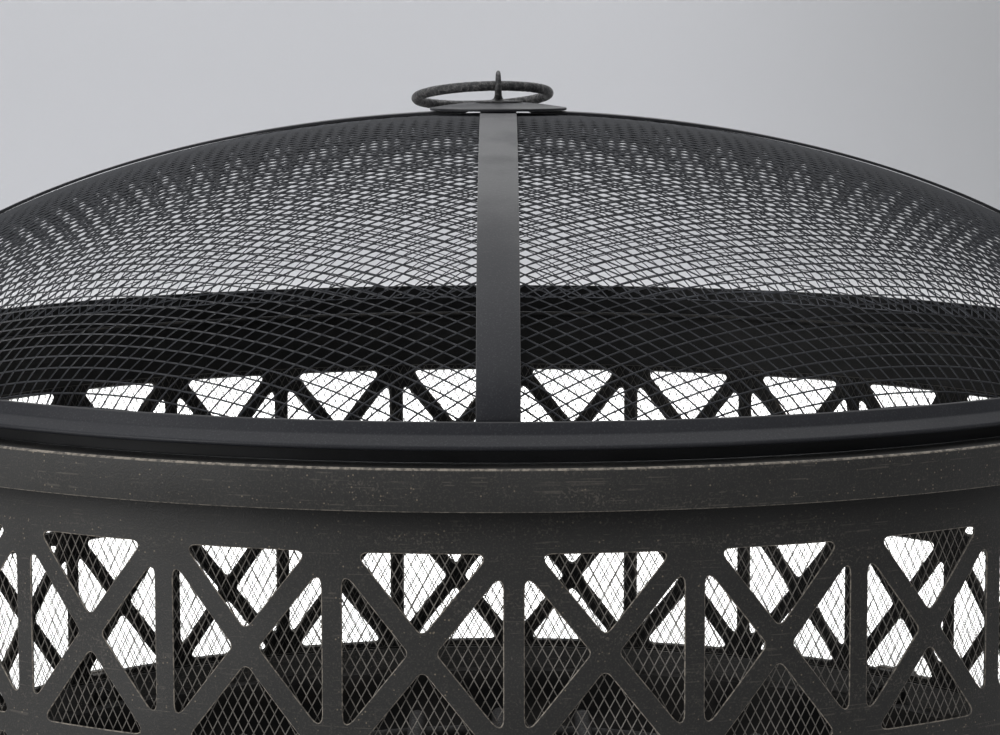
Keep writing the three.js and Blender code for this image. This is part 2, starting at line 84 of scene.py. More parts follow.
class Slot(Enum):
    """Names of the material slots."""

    BRONZE = "bronze_paint"
    LID = "lid_paint"
    HANDLE = "handle_paint"
    DOME = "dome_mesh"
    LINING = "lining_mesh"
    BOWL = "bowl_enamel"
    GRATE = "grate_iron"
    STEEL = "bare_steel"
    PAD = "pad_plastic"


# ---- Finishes ----------------------------------------------------------------------------------


class Recipe:
    """A material while it is mixed: its nodes and the shader at their end."""

    def __init__(self, name: str, roughness: float, specular: float = 0.5, metallic: float = 0.0) -> None:
        """Starts a material.

        Args:
            name: the material's name.
            roughness: of the whole surface, before anything varies it.
            specular: the shader's specular level.
            metallic: the shader's metallic share.
        """
        self.material = bpy.data.materials.new(name)
        self.material.use_nodes = True
        self.nodes = self.material.node_tree.nodes
        self.links = self.material.node_tree.links
        self.shader = self.nodes["Principled BSDF"]
        self.shader.inputs["Roughness"].default_value = roughness
        self.shader.inputs["Metallic"].default_value = metallic
        self.shader.inputs["Specular IOR Level"].default_value = specular
        self.place = self.nodes.new("ShaderNodeTexCoord").outputs["Object"]

    def feed(self, socket: Socket, value: "Socket | float | Sequence[float]") -> None:
        """Links a socket, or sets its value where that is a number or a colour.

        Args:
            socket: the input.
            value: another node's output, a number or a colour.
        """
        if isinstance(value, bpy.types.NodeSocket):
            self.links.new(value, socket)
        elif isinstance(value, (int, float)):
            socket.default_value = value
        else:
            socket.default_value = (*value, 1.0)[: len(socket.default_value)]

    def stretched(self, across: float, up: float) -> Socket:
        """The place on the piece, scaled the same in X and Y and apart in Z.

        Args:
            across: the scale in X and Y.
            up: the scale in Z.

        Returns:
            The scaled place.
        """
        node = self.nodes.new("ShaderNodeMapping")
        node.inputs["Scale"].default_value = (across, across, up)
        self.feed(node.inputs["Vector"], self.place)
        return node.outputs["Vector"]

    def noise(self, scale: float, detail: float = 3.0, place: "Socket | None" = None) -> Socket:
        """Cloudy noise from nought to one, with a scale in clouds per metre.

        Args:
            scale: clouds per metre.
            detail: how many finer layers it has.
            place: where it is read, by default the piece's own place.

        Returns:
            The noise.
        """
        node = self.nodes.new("ShaderNodeTexNoise")
        self.feed(node.inputs["Vector"], place or self.place)
        node.inputs["Scale"].default_value = scale
        node.inputs["Detail"].default_value = detail
        return node.outputs["Fac"]

    def cells(self, scale: float, place: "Socket | None" = None) -> tuple[Socket, Socket]:
        """Distances to scattered points and a random colour for each point.

        Args:
            scale: points per metre.
            place: where they are read, by default the piece's own place.

        Returns:
            The distance and the colour.
        """
        node = self.nodes.new("ShaderNodeTexVoronoi")
        self.feed(node.inputs["Vector"], place or self.place)
        node.inputs["Scale"].default_value = scale
        return node.outputs["Distance"], node.outputs["Color"]

    def step(self, value: Socket, low: float, high: float, start: float = 0.0, end: float = 1.0) -> Socket:
        """A smooth step of a value between two limits, from a start to an end.

        Args:
            value: what is stepped.
            low: the value where the step starts.
            high: the value where it ends.
            start: the result below the step.
            end: the result above it.

        Returns:
            The stepped value.
        """
        node = self.nodes.new("ShaderNodeMapRange")
        node.interpolation_type = "SMOOTHSTEP"
        for name, number in (("From Min", low), ("From Max", high), ("To Min", start), ("To Max", end)):
            node.inputs[name].default_value = number
        self.feed(node.inputs["Value"], value)
        return node.outputs["Result"]

    def math(self, operation: str, first: "Socket | float", second: "Socket | float" = 0.0) -> Socket:
        """One sum, product or the like, kept between nought and one.

        Args:
            operation: the node's own name for the sum.
            first: its first number.
            second: its second number.

        Returns:
            The result.
        """
        node = self.nodes.new("ShaderNodeMath")
        node.operation = operation
        node.use_clamp = True
        self.feed(node.inputs[0], first)
        self.feed(node.inputs[1], second)
        return node.outputs[0]

    def times(self, *values: "Socket | float") -> Socket:
        """The product of masks.

        Args:
            values: the masks.

        Returns:
            Their product.
        """
        product = values[0]
        for value in values[1:]:
            product = self.math("MULTIPLY", product, value)
        return product

    def mix(
        self, share: "Socket | float", first: "Socket | Triple", second: "Socket | Triple"
    ) -> Socket:
        """A colour between two others.

        Args:
            share: of the second colour.
            first: a colour.
            second: a colour.

        Returns:
            The mixed colour.
        """
        node = self.nodes.new("ShaderNodeMix")
        node.data_type = "RGBA"
        self.feed(node.inputs[0], share)
        self.feed(node.inputs[6], first)
        self.feed(node.inputs[7], second)
        return node.outputs[2]

    def attribute(self, name: str) -> Socket:
        """A number that the piece's own mesh carries.

        Args:
            name: the attribute's name.

        Returns:
            Its value.
        """
        node = self.nodes.new("ShaderNodeAttribute")
        node.attribute_type = "GEOMETRY"
        node.attribute_name = name
        return node.outputs["Fac"]

    def along(self, axis: str) -> Socket:
        """Where a point lies along one of the frame's axes, in metres.

        Args:
            axis: X, Y or Z.

        Returns:
            The distance along it.
        """
        node = self.nodes.new("ShaderNodeSeparateXYZ")
        self.feed(node.inputs[0], self.place)
        return node.outputs[axis]

    def with_painted_shading(self, color: Socket, black: Triple = (0.005, 0.005, 0.005)) -> Socket:
        """A colour mixed towards another where the piece's mesh marks it for painted shading: painted shade
        where the other colour is dark, painted light where it is pale.
        """
        uneven = self.step(self.noise(34.0, 4.0), 0.3, 0.65, 0.72, 1.0)
        return self.mix(self.times(self.attribute(PAINTED_SHADING), uneven), color, black)

    def bump(self, height: Socket, depth: float, below: "Socket | None" = None) -> Socket:
        """A bumped normal, for a height map of some depth in metres.

        Args:
            height: the height map.
            depth: how deep its full range is, in metres.
            below: a normal that is bumped further.

        Returns:
            The normal.
        """
        node = self.nodes.new("ShaderNodeBump")
        node.inputs["Strength"].default_value = 1.0
        node.inputs["Distance"].default_value = depth
        self.feed(node.inputs["Height"], height)
        if below is not None:
            self.feed(node.inputs["Normal"], below)
        return node.outputs["Normal"]

    def finish(
        self, color: Socket, roughness: "Socket | None" = None, normal: "Socket | None" = None
    ) -> None:
        """Links the shader's colour, and its roughness and normal where they vary.

        Args:
            color: the base colour.
            roughness: where it varies.
            normal: where the surface is bumped.
        """
        self.feed(self.shader.inputs["Base Color"], color)
        if roughness is not None:
            self.feed(self.shader.inputs["Roughness"], roughness)
        if normal is not None:
            self.feed(self.shader.inputs["Normal"], normal)


@dataclass(frozen=True)
class Finish:
    """A finish that pieces share."""

    name: str

    def material(self) -> bpy.types.Material:
        """The finish's material, mixed the first time that a piece takes it."""
        return bpy.data.materials.get(self.name) or self.mixed().material

    def mixed(self) -> Recipe:
        """Mixes the finish.

        Returns:
            The recipe, with its shader linked.
        """
        raise NotImplementedError


@dataclass(frozen=True)
class RubbedBronze(Finish):
    """Dark bronze paint, sandy to the touch, rubbed to tan along edges, with flecks and long scratches."""

    base: Triple = (0.0335, 0.0330, 0.0320)
    cloud: Triple = (0.046, 0.0455, 0.044)
    tan: Triple = (0.34, 0.30, 0.25)
    fleck: Triple = (0.40, 0.33, 0.24)
    dust: float = 0.2
    scratches: float = 0.17
    roughness: float = 0.52
    shade_foot: float = 0.332
    shade_top: float = 0.3505

    def mixed(self) -> Recipe:
        """Mixes base, dusty patches, scratches, flecks, rubbed edges and a painted shade under the rim.

        Returns:
            The recipe, with its shader linked.
        """
        recipe = Recipe(self.name, self.roughness, specular=0.35)
        grain = recipe.noise(1150.0, 2.0)
        color = recipe.mix(recipe.step(recipe.noise(16.0), 0.35, 0.7), self.base, self.cloud)
        color = recipe.mix(recipe.step(grain, 0.48, 0.72, 0.0, 0.1), color, self.tan)
        patches = recipe.step(recipe.noise(1.0, 3.0, recipe.stretched(13.0, 75.0)), 0.5, 0.66)
        dusting = recipe.step(recipe.noise(820.0, 1.0), 0.55, 0.68, 0.0, self.dust)
        color = recipe.mix(recipe.times(patches, dusting), color, self.tan)
        lines = recipe.step(recipe.noise(1.0, 2.0, recipe.stretched(20.0, 1250.0)), 0.6, 0.68)
        broken = recipe.step(recipe.noise(150.0, 2.0), 0.48, 0.6, 0.0, self.scratches)
        scratched = recipe.times(lines, broken)
        color = recipe.mix(scratched, color, self.tan)
        distance, chance = recipe.cells(520.0)
        dots = recipe.step(distance, 0.14, 0.27, 1.0, 0.0)
        chosen = recipe.step(chance, 0.60, 0.64)
        rows = recipe.step(recipe.noise(1.0, 1.0, recipe.stretched(9.0, 330.0)), 0.5, 0.58, 0.15, 1.0)
        color = recipe.mix(recipe.times(dots, chosen, rows, 0.5), color, self.fleck)
        # Painted shade: a near-black band on the bronze just below the rim's lip, standing in for the rim's
        # shadow.
        level = recipe.along("Z")
        under = recipe.step(level, self.shade_top, self.shade_top + 0.0006, 0.8, 0.0)
        painted_shade_under_rim = recipe.times(recipe.step(level, self.shade_foot, self.shade_top), under)
        color = recipe.mix(painted_shade_under_rim, color, (0.004, 0.004, 0.004))
        worn = recipe.step(recipe.noise(480.0, 5.0), 0.36, 0.62, 0.22, 1.0)
        color = recipe.mix(recipe.times(recipe.attribute(RUB), worn), color, self.tan)
        rough = recipe.step(grain, 0.3, 0.7, self.roughness - 0.06, self.roughness + 0.1)
        sand = recipe.bump(grain, 0.0002)
        recipe.finish(recipe.with_painted_shading(color), rough, recipe.bump(scratched, 0.00006, sand))
        return recipe


@dataclass(frozen=True)
class SatinPaint(Finish):
    """Charcoal heat paint, even and satin, with faint smudges and orange peel."""

    base: Triple = (0.024, 0.025, 0.030)
    smudge: Triple = (0.031, 0.032, 0.037)
    roughness: float = 0.46
    peel: float = 0.00004

    def mixed(self) -> Recipe:
        """Mixes base, smudges and orange peel.

        Returns:
            The recipe, with its shader linked.
        """
        recipe = Recipe(self.name, self.roughness, specular=0.3)
        smudges = recipe.step(recipe.noise(21.0, 4.0), 0.4, 0.72)
        color = recipe.mix(smudges, self.base, self.smudge)
        drawn = recipe.step(recipe.noise(1.0, 2.0, recipe.stretched(700.0, 60.0)), 0.5, 0.8, 0.0, 0.12)
        color = recipe.mix(drawn, color, self.smudge)
        fine = recipe.step(recipe.noise(1300.0, 2.0), 0.5, 0.75, 0.0, 0.3)
        color = recipe.mix(fine, color, (0.10, 0.10, 0.105))
        color = recipe.mix(recipe.times(recipe.attribute(RUB), 0.3), color, (0.20, 0.195, 0.19))
        rough = recipe.step(smudges, 0.0, 1.0, self.roughness - 0.05, self.roughness + 0.07)
        peel = recipe.bump(recipe.noise(620.0, 2.0), self.peel)
        recipe.finish(recipe.with_painted_shading(color), rough, peel)
        return recipe


@dataclass(frozen=True)
class HammeredPaint(Finish):
    """Black paint over a rough, hammered rod, worn paler on its high spots."""

    base: Triple = (0.034, 0.034, 0.036)
    worn: Triple = (0.16, 0.155, 0.15)
    roughness: float = 0.5

    def mixed(self) -> Recipe:
        """Mixes dimples, high spots and grit.

        Returns:
            The recipe, with its shader linked.
        """
        recipe = Recipe(self.name, self.roughness, specular=0.5)
        dimples, _ = recipe.cells(420.0)
        grit = recipe.noise(1700.0, 3.0)
        high = recipe.times(recipe.step(dimples, 0.35, 0.7), recipe.step(grit, 0.4, 0.62))
        color = recipe.mix(high, self.base, self.worn)
        rough = recipe.step(grit, 0.3, 0.7, self.roughness - 0.12, self.roughness + 0.15)
        recipe.finish(color, rough, recipe.bump(grit, 0.00025, recipe.bump(dimples, 0.0005)))
        return recipe


@dataclass(frozen=True)
class MeshPaint(Finish):
    """Thin satin paint on expanded metal, slightly mottled from strand to strand."""

    base: Triple = (0.044, 0.046, 0.052)
    worn: Triple = (0.105, 0.105, 0.108)
    # The colour of the painted shading on the inward faces.
    inside: Triple = (0.005, 0.005, 0.005)
    roughness: float = 0.42

    def mixed(self) -> Recipe:
        """Mixes mottling, paler spots and the painted shading on inward faces: painted shade where the inside
        colour is dark, painted light where it is pale.

        Returns:
            The recipe, with its shader linked.
        """
        recipe = Recipe(self.name, self.roughness, specular=0.3)
        mottle = recipe.step(recipe.noise(150.0, 3.0), 0.4, 0.7)
        spots = recipe.step(recipe.noise(800.0, 2.0), 0.55, 0.75, 0.0, 0.5)
        color = recipe.mix(mottle, self.base, [1.35 * part for part in self.base])
        color = recipe.mix(spots, color, self.worn)
        rough = recipe.step(mottle, 0.0, 1.0, self.roughness - 0.06, self.roughness + 0.1)
        grain = recipe.bump(recipe.noise(1100.0, 2.0), 0.00005)
        recipe.finish(recipe.with_painted_shading(color, self.inside), rough, grain)
        return recipe


@dataclass(frozen=True)
class SootyEnamel(Finish):
    """Dark brown heat paint with blacker, duller soot in clouds."""

    base: Triple = (0.0085, 0.007, 0.006)
    soot: Triple = (0.004, 0.004, 0.004)
    rust: Triple = (0.030, 0.017, 0.010)
    roughness: float = 0.55

    def mixed(self) -> Recipe:
        """Mixes soot, a breath of rust and a fine grain.

        Returns:
            The recipe, with its shader linked.
        """
        recipe = Recipe(self.name, self.roughness, specular=0.2)
        clouds = recipe.step(recipe.noise(24.0, 5.0), 0.4, 0.66)
        grain = recipe.noise(900.0, 3.0)
        color = recipe.mix(clouds, self.base, self.soot)
        rusty = recipe.times(recipe.step(recipe.noise(55.0, 5.0), 0.56, 0.74), recipe.step(grain, 0.4, 0.7))
        color = recipe.mix(recipe.times(rusty, 0.7), color, self.rust)
        rough = recipe.step(clouds, 0.0, 1.0, self.roughness - 0.05, self.roughness + 0.25)
        recipe.finish(color, rough, recipe.bump(grain, 0.0001))
        return recipe


@dataclass(frozen=True)
class ForgedIron(Finish):
    """Blackened iron rod: mill scale, pits and a little rust in them."""

    base: Triple = (0.010, 0.009, 0.009)
    scale: Triple = (0.024, 0.022, 0.021)
    rust: Triple = (0.045, 0.023, 0.013)
    roughness: float = 0.6

    def mixed(self) -> Recipe:
        """Mixes scale, pits and rust.

        Returns:
            The recipe, with its shader linked.
        """
        recipe = Recipe(self.name, self.roughness, specular=0.25)
        flakes, _ = recipe.cells(260.0)
        pits = recipe.noise(420.0, 5.0)
        color = recipe.mix(recipe.step(flakes, 0.3, 0.6, 0.0, 0.7), self.base, self.scale)
        color = recipe.mix(recipe.step(pits, 0.6, 0.75, 0.0, 0.6), color, self.rust)
        rough = recipe.step(pits, 0.3, 0.7, self.roughness - 0.1, self.roughness + 0.15)
        recipe.finish(color, rough, recipe.bump(pits, 0.0004, recipe.bump(flakes, 0.00015)))
        return recipe


@dataclass(frozen=True)
class BlackedSteel(Finish):
    """Blacked fasteners, with bare steel showing on corners and in fine tool marks."""

    base: Triple = (0.040, 0.039, 0.039)
    bare: Triple = (0.30, 0.29, 0.28)
    roughness: float = 0.38

    def mixed(self) -> Recipe:
        """Mixes tool marks, worn corners and a light haze.

        Returns:
            The recipe, with its shader linked.
        """
        recipe = Recipe(self.name, self.roughness, specular=0.5, metallic=0.6)
        haze = recipe.step(recipe.noise(260.0, 4.0), 0.4, 0.7)
        marks = recipe.step(recipe.noise(1.0, 2.0, recipe.stretched(240.0, 2400.0)), 0.6, 0.75, 0.0, 0.3)
        color = recipe.mix(haze, self.base, [1.5 * part for part in self.base])
        color = recipe.mix(marks, color, self.bare)
        worn = recipe.step(recipe.noise(700.0, 3.0), 0.4, 0.6, 0.1, 0.8)
        color = recipe.mix(recipe.times(recipe.attribute(RUB), worn), color, self.bare)
        rough = recipe.step(haze, 0.0, 1.0, self.roughness - 0.08, self.roughness + 0.12)
        recipe.finish(color, rough, recipe.bump(marks, 0.00004))
        return recipe


@dataclass(frozen=True)
class MouldedPlastic(Finish):
    """Matt black plastic with a spark-eroded grain."""

    base: Triple = (0.014, 0.014, 0.015)
    scuff: Triple = (0.045, 0.044, 0.043)
    roughness: float = 0.62

    def mixed(self) -> Recipe:
        """Mixes grain and scuffs.

        Returns:
            The recipe, with its shader linked.
        """
        recipe = Recipe(self.name, self.roughness, specular=0.4)
        grain = recipe.noise(1300.0, 2.0)
        scuffs = recipe.step(recipe.noise(90.0, 5.0), 0.55, 0.75, 0.0, 0.7)
        color = recipe.mix(scuffs, self.base, self.scuff)
        rough = recipe.step(scuffs, 0.0, 1.0, self.roughness, self.roughness + 0.15)
        recipe.finish(color, rough, recipe.bump(grain, 0.00012))
        return recipe


@dataclass(frozen=True)
class StudioPaper(Finish):
    """Seamless pale paper with painted shade: nearly white behind the pit, greyer in front, far out and to
    the right, where less light falls.
    """

    near: Triple = (0.94, 0.94, 0.93)
    far: Triple = (0.735, 0.74, 0.765)
    front: Triple = (0.46, 0.46, 0.46)
    right: Triple = (0.50, 0.505, 0.515)
    near_reach: float = 2.6
    far_reach: float = 6.4

    def mixed(self) -> Recipe:
        """Mixes the painted shade fades and a faint fibre.

        Returns:
            The recipe, with its shader linked.
        """
        recipe = Recipe(self.name, 0.9, specular=0.1)
        length = recipe.nodes.new("ShaderNodeVectorMath")
        length.operation = "LENGTH"
        recipe.feed(length.inputs[0], recipe.place)
        # Painted shade: the paper greys to the right, far out and in front, where less light falls.
        color = recipe.mix(recipe.step(recipe.along("X"), 0.2, 1.9), self.far, self.right)
        farness = recipe.step(length.outputs["Value"], self.near_reach, self.far_reach)
        color = recipe.mix(farness, self.near, color)
        color = recipe.mix(recipe.step(recipe.along("Y"), -0.7, 0.7, 1.0, 0.0), color, self.front)
        fibre = recipe.noise(300.0, 4.0)
        color = recipe.mix(recipe.step(fibre, 0.3, 0.7, 0.0, 0.04), color, (0.5, 0.5, 0.5))
        recipe.finish(color, None, recipe.bump(fibre, 0.0001))
        return recipe


BRONZE = RubbedBronze("rubbed_bronze")
LID_PAINT = SatinPaint("satin_charcoal")
HANDLE_PAINT = HammeredPaint("hammered_black")
# Painted light: the dome strands' inward faces, seen through the front holes, are painted a pale bluish grey.
DOME_PAINT = MeshPaint("dome_mesh_paint", inside=(0.20, 0.21, 0.235))
# The lining keeps the near-black inside colour: painted shade on its inward faces.
LINING_PAINT = MeshPaint("lining_mesh_paint", base=(0.21, 0.195, 0.175), worn=(0.40, 0.365, 0.32))
BOWL_ENAMEL = SootyEnamel("sooty_enamel")
GRATE_IRON = ForgedIron("forged_iron")
STEEL = BlackedSteel("blacked_steel")
PAD_PLASTIC = MouldedPlastic("moulded_plastic")
PAPER = StudioPaper("studio_paper")


# ---- Mesh work ---------------------------------------------------------------------------------


def box_of(*nodes: str) -> tuple[Vector, Vector]:
    """The lowest and highest corners of several nodes together.

    Args:
        nodes: the nodes' names.

    Returns:
        The two corners.
    """
    boxes = [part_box(node) for node in nodes]
    low = Vector([min(box[0][i] for box in boxes) for i in range(3)])
    high = Vector([max(box[1][i] for box in boxes) for i in range(3)])
    return low, high


def nodes_like(prefix: str) -> list[str]:
    """The frame's nodes whose names start with a prefix."""
    return sorted(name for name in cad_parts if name.startswith(prefix))


def drawn(points: Sequence[Point], closed: bool = True, radius: float = 0.0, segments: int = 3) -> BMesh:
    """An outline in the XZ plane, its corners rounded where a radius is given.

    Args:
        points: distances and heights of the corners.
        closed: whether the last corner joins the first.
        radius: of the rounding.
        segments: of each rounded corner.

    Returns:
        A shape of edges alone.
    """
    shape = bmesh.new()
    verts = [shape.verts.new((x, 0.0, z)) for x, z in points]
    if closed:
        shape.faces.new(verts)
    else:
        for first, second in zip(verts, verts[1:]):
            shape.edges.new((first, second))
    if closed and radius:
        round_corners(shape, verts, radius, segments)
    if closed:
        bmesh.ops.delete(shape, geom=shape.faces[:], context="FACES_ONLY")
    return shape


def round_corners(shape: BMesh, verts: Sequence[BMVert], radius: float, segments: int) -> None:
    """Rounds the corners of a flat face to a radius.

    Args:
        shape: the shape with the flat face.
        verts: the corners.
        radius: of the rounding.
        segments: of each rounded corner.
    """
    for vert in verts:
        first, second = (edge.other_vert(vert).co - vert.co for edge in vert.link_edges)
        reach = radius / math.tan(first.angle(second) / 2)
        bmesh.ops.bevel(
            shape, geom=[vert], offset=reach, offset_type="OFFSET", segments=segments,
            profile=0.5, affect="VERTICES", material=-1,
        )


def everything(shape: BMesh) -> list:
    """All of a shape's vertices, edges and faces."""
    return shape.verts[:] + shape.edges[:] + shape.faces[:]


def tidied(shape: BMesh) -> BMesh:
    """Merges doubles and turns the faces outwards.

    Args:
        shape: any shape.

    Returns:
        The same shape.
    """
    bmesh.ops.remove_doubles(shape, verts=shape.verts[:], dist=MERGE)
    bmesh.ops.recalc_face_normals(shape, faces=shape.faces[:])
    return shape


def spun(shape: BMesh, steps: int) -> BMesh:
    """Turns an outline in the XZ plane all the way round the Z axis.

    Args:
        shape: the outline.
        steps: of the whole turn.

    Returns:
        The turned shape.
    """
    bmesh.ops.spin(
        shape, geom=everything(shape), cent=(0, 0, 0), axis=(0, 0, 1), dvec=(0, 0, 0),
        angle=TAU, steps=steps, use_merge=True, use_duplicate=False,
    )
    return tidied(shape)


def faced(shape: BMesh, side: Callable[[BMFace], float]) -> BMesh:
    """Turns all of a shape's faces over where most of them look the wrong way.

    Args:
        shape: the open sheet.
        side: how far a face looks the right way.

    Returns:
        The same shape.
    """
    if sum(side(face) for face in shape.faces) < 0:
        bmesh.ops.reverse_faces(shape, faces=shape.faces[:])
    return shape


def drawn_out(points: Sequence[Point], width: float) -> BMesh:
    """An open outline in the XZ plane drawn out along Y to a flat strip.

    Args:
        points: distances and heights along the outline.
        width: of the strip, half to each side of the plane.

    Returns:
        The strip, without thickness.
    """
    shape = drawn(points, closed=False)
    made = bmesh.ops.extrude_edge_only(shape, edges=shape.edges[:])["geom"]
    side = [v for v in made if isinstance(v, BMVert)]
    bmesh.ops.translate(shape, verts=side, vec=(0, width, 0))
    moved(shape, Matrix.Translation((0, -width / 2, 0)))
    bmesh.ops.recalc_face_normals(shape, faces=shape.faces[:])
    return shape


def hex_nut(radius: float, bore: float, height: float) -> BMesh:
    """A six-sided nut along Z with an open bore and worn corners.

    Args:
        radius: to the nut's corners.
        bore: the bore's radius.
        height: of the nut.

    Returns:
        The nut, standing on the XY plane.
    """
    shape = bmesh.new()
    bmesh.ops.create_circle(shape, cap_ends=False, radius=radius, segments=HEXAGON)
    bmesh.ops.subdivide_edges(shape, edges=shape.edges[:], cuts=3)
    bmesh.ops.create_circle(shape, cap_ends=False, radius=bore, segments=4 * HEXAGON)
    bmesh.ops.bridge_loops(shape, edges=shape.edges[:])
    bmesh.ops.recalc_face_normals(shape, faces=shape.faces[:])
    thickened(shape, height)
    rub(shape, softened(shape, 0.0003, 2, 50.0), 0.7)
    return moved(shape, Matrix.Translation((0, 0, -min(v.co.z for v in shape.verts))))


def thickened(shape: BMesh, thickness: float) -> BMesh:
    """Gives a sheet its thickness, away from its normals."""
    bmesh.ops.solidify(shape, geom=shape.faces[:], thickness=thickness)
    return shape


def softened(shape: BMesh, offset: float, segments: int = 2, sharper: float = 35.0) -> list[BMFace]:
    """Rounds every edge that is sharper than an angle.

    Args:
        shape: the closed shape.
        offset: how far back from each edge the rounding starts.
        segments: of the rounding.
        sharper: the angle between faces, in degrees.

    Returns:
        The faces of the rounding.
    """
    limit = math.radians(sharper)
    edges = [e for e in shape.edges if len(e.link_faces) == 2 and e.calc_face_angle() > limit]
    made = bmesh.ops.bevel(
        shape, geom=edges, offset=offset, offset_type="OFFSET", segments=segments,
        profile=0.5, affect="EDGES", material=-1, clamp_overlap=True,
    )
    return made["faces"]


def rub(shape: BMesh, faces: Sequence[BMFace], amount: float = 1.0) -> None:
    """Notes how worn the paint is on some faces.

    Args:
        shape: whose faces they are.
        faces: the worn faces.
        amount: from nought to one.
    """
    layer = shape.loops.layers.float.get(RUB) or shape.loops.layers.float.new(RUB)
    for face in faces:
        for loop in face.loops:
            loop[layer] = amount


def mark_inward_shading(shape: BMesh, amount: float = 1.0) -> BMesh:
    """Marks painted shading on the faces that look towards the pit's axis, as far as they do.

    Args:
        shape: any shape in its place on the pit.
        amount: from nought to one.

    Returns:
        The same shape.
    """
    layer = shape.loops.layers.float.get(PAINTED_SHADING) or shape.loops.layers.float.new(PAINTED_SHADING)
    # The more a face looks towards the axis, the more painted shading it gets: painted shade on the drum and
    # the lid, painted light on the dome's strands.
    for face in shape.faces:
        inward = -face.normal.dot(face.calc_center_median().xy.to_3d().normalized())
        for loop in face.loops:
            loop[layer] = amount * min(1.0, max(0.0, 2.5 * inward))
    return shape


def reshaped(shape: BMesh, rule: Callable[[Vector], Vector]) -> BMesh:
    """Moves every vertex of a shape by a rule.

    Args:
        shape: any shape.
        rule: where a vertex goes from where it is.

    Returns:
        The same shape.
    """
    for vert in shape.verts:
        vert.co = rule(vert.co)
    return shape


def moved(shape: BMesh, matrix: Matrix) -> BMesh:
    """Moves a whole shape by a matrix."""
    bmesh.ops.transform(shape, matrix=matrix, verts=shape.verts[:])
    return shape


def joined(*shapes: BMesh) -> BMesh:
    """Several shapes in one.

    Args:
        shapes: the shapes, which are used up.

    Returns:
        The whole.
    """
    whole = bmesh.new()
    for shape in shapes:
        mesh = bpy.data.meshes.new("part")
        shape.to_mesh(mesh)
        shape.free()
        whole.from_mesh(mesh)
        bpy.data.meshes.remove(mesh)
    return whole


def round_rod(radius: float, length: float, sides: int = 20, rounding: float = 0.0006) -> BMesh:
    """A round rod along Z with its middle at the origin and softened ends.

    Args:
        radius: of the rod.
        length: from end to end.
        sides: round the rod.
        rounding: of its ends.

    Returns:
        The rod.
    """
    shape = bmesh.new()
    bmesh.ops.create_cone(
        shape, cap_ends=True, cap_tris=False, segments=sides, radius1=radius, radius2=radius, depth=length
    )
    softened(shape, rounding)
    return shape


def round_ring(radius: float, rod: float, steps: int, sides: int = 20) -> BMesh:
    """A ring of round rod in the XY plane.

    Args:
        radius: to the rod's middle.
        rod: the thickness of the rod.
        steps: round the ring.
        sides: round the rod.

    Returns:
        The ring.
    """
    shape = bmesh.new()
    bmesh.ops.create_circle(shape, cap_ends=False, radius=rod / 2, segments=sides)
    moved(shape, Matrix.Translation((radius, 0, 0)) @ Matrix.Rotation(math.pi / 2, 4, "X"))
    return spun(shape, steps)


def diamonds(width: float, height: float, long_way: float, short_way: float) -> BMesh:
    """A flat sheet of diamonds in the XY plane, its middle at a knuckle.

    Args:
        width: of the sheet, along X.
        height: of the sheet, along Y.
        long_way: a diamond's size along X.
        short_way: a diamond's size along Y.

    Returns:
        The sheet, one face to a diamond, cut off straight at its edges.
    """
    sheet = bmesh.new()
    count = 2 * math.ceil((width / long_way + height / short_way) / 2 + 1)
    bmesh.ops.create_grid(sheet, x_segments=count, y_segments=count, size=count / 2)
    scale = Matrix.Diagonal((long_way / math.sqrt(2), short_way / math.sqrt(2), 1, 1))
    moved(sheet, scale @ Matrix.Rotation(math.pi / 4, 4, "Z"))
    for x, y in ((1, 0), (-1, 0), (0, 1), (0, -1)):
        edge = (x * width / 2, y * height / 2, 0)
        bmesh.ops.bisect_plane(
            sheet, geom=everything(sheet), dist=STITCH, plane_co=edge, plane_no=(x, y, 0), clear_outer=True
        )
    return sheet


def strands(sheet: BMesh, thickness: float) -> BMesh:
    """Turns each edge of a sheet of diamonds into a strand, once its slivers are gone.

    Args:
        sheet: one face to a diamond.
        thickness: of a strand.

    Returns:
        The expanded metal.
    """
    bmesh.ops.dissolve_degenerate(sheet, dist=thickness / 3, edges=sheet.edges[:])
    slivers = [f for f in sheet.faces if 2 * f.calc_area() < thickness * f.calc_perimeter()]
    bmesh.ops.delete(sheet, geom=slivers, context="FACES")
    bmesh.ops.wireframe(
        sheet, faces=sheet.faces[:], thickness=thickness, offset=0.0, use_replace=True,
        use_boundary=True, use_even_offset=True,
    )
    return sheet


@dataclass
class SubAssembly:
    """A group of pieces that are built and dressed together."""

    pieces: list[bpy.types.Object] = field(default_factory=list, init=False, repr=False)

    def add(
        self, name: str, shape: BMesh, body: Body, slot: Slot, nodes: Sequence[str], smooth: float = 38.0
    ) -> bpy.types.Object:
        """Makes a shape a piece that rides on its body and stands for CAD nodes.

        Args:
            name: the piece's name.
            shape: its finished shape, which is used up.
            body: what it moves with.
            slot: not used.
            nodes: the CAD nodes that it stands for.
            smooth: faces that meet at less than this many degrees are shaded smooth.

        Returns:
            The piece.
        """
        mesh = bpy.data.meshes.new(name)
        shape.to_mesh(mesh)
        shape.free()
        mesh.shade_smooth()
        mesh.set_sharp_from_angle(angle=math.radians(smooth))
        piece = bpy.data.objects.new(name, mesh)
        bpy.context.scene.collection.objects.link(piece)
        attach(piece, body.value)
        if nodes:
            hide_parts(*nodes)
        self.pieces.append(piece)
        return piece

    def build(self) -> None:
        """Builds the sub-assembly's meshes."""
        raise NotImplementedError

    def dress(self) -> None:
        """Gives each piece its finish."""
        raise NotImplementedError

    def paint(self, finish: Finish, prefix: str = "") -> None:
        """Puts a finish on the pieces whose names start with a prefix.

        Args:
            finish: what they are painted with.
            prefix: how their names start.
        """
        for piece in self.pieces:
            if piece.name.startswith(prefix):
                piece.data.materials.clear()
                piece.data.materials.append(finish.material())


# ---- The drum ----------------------------------------------------------------------------------


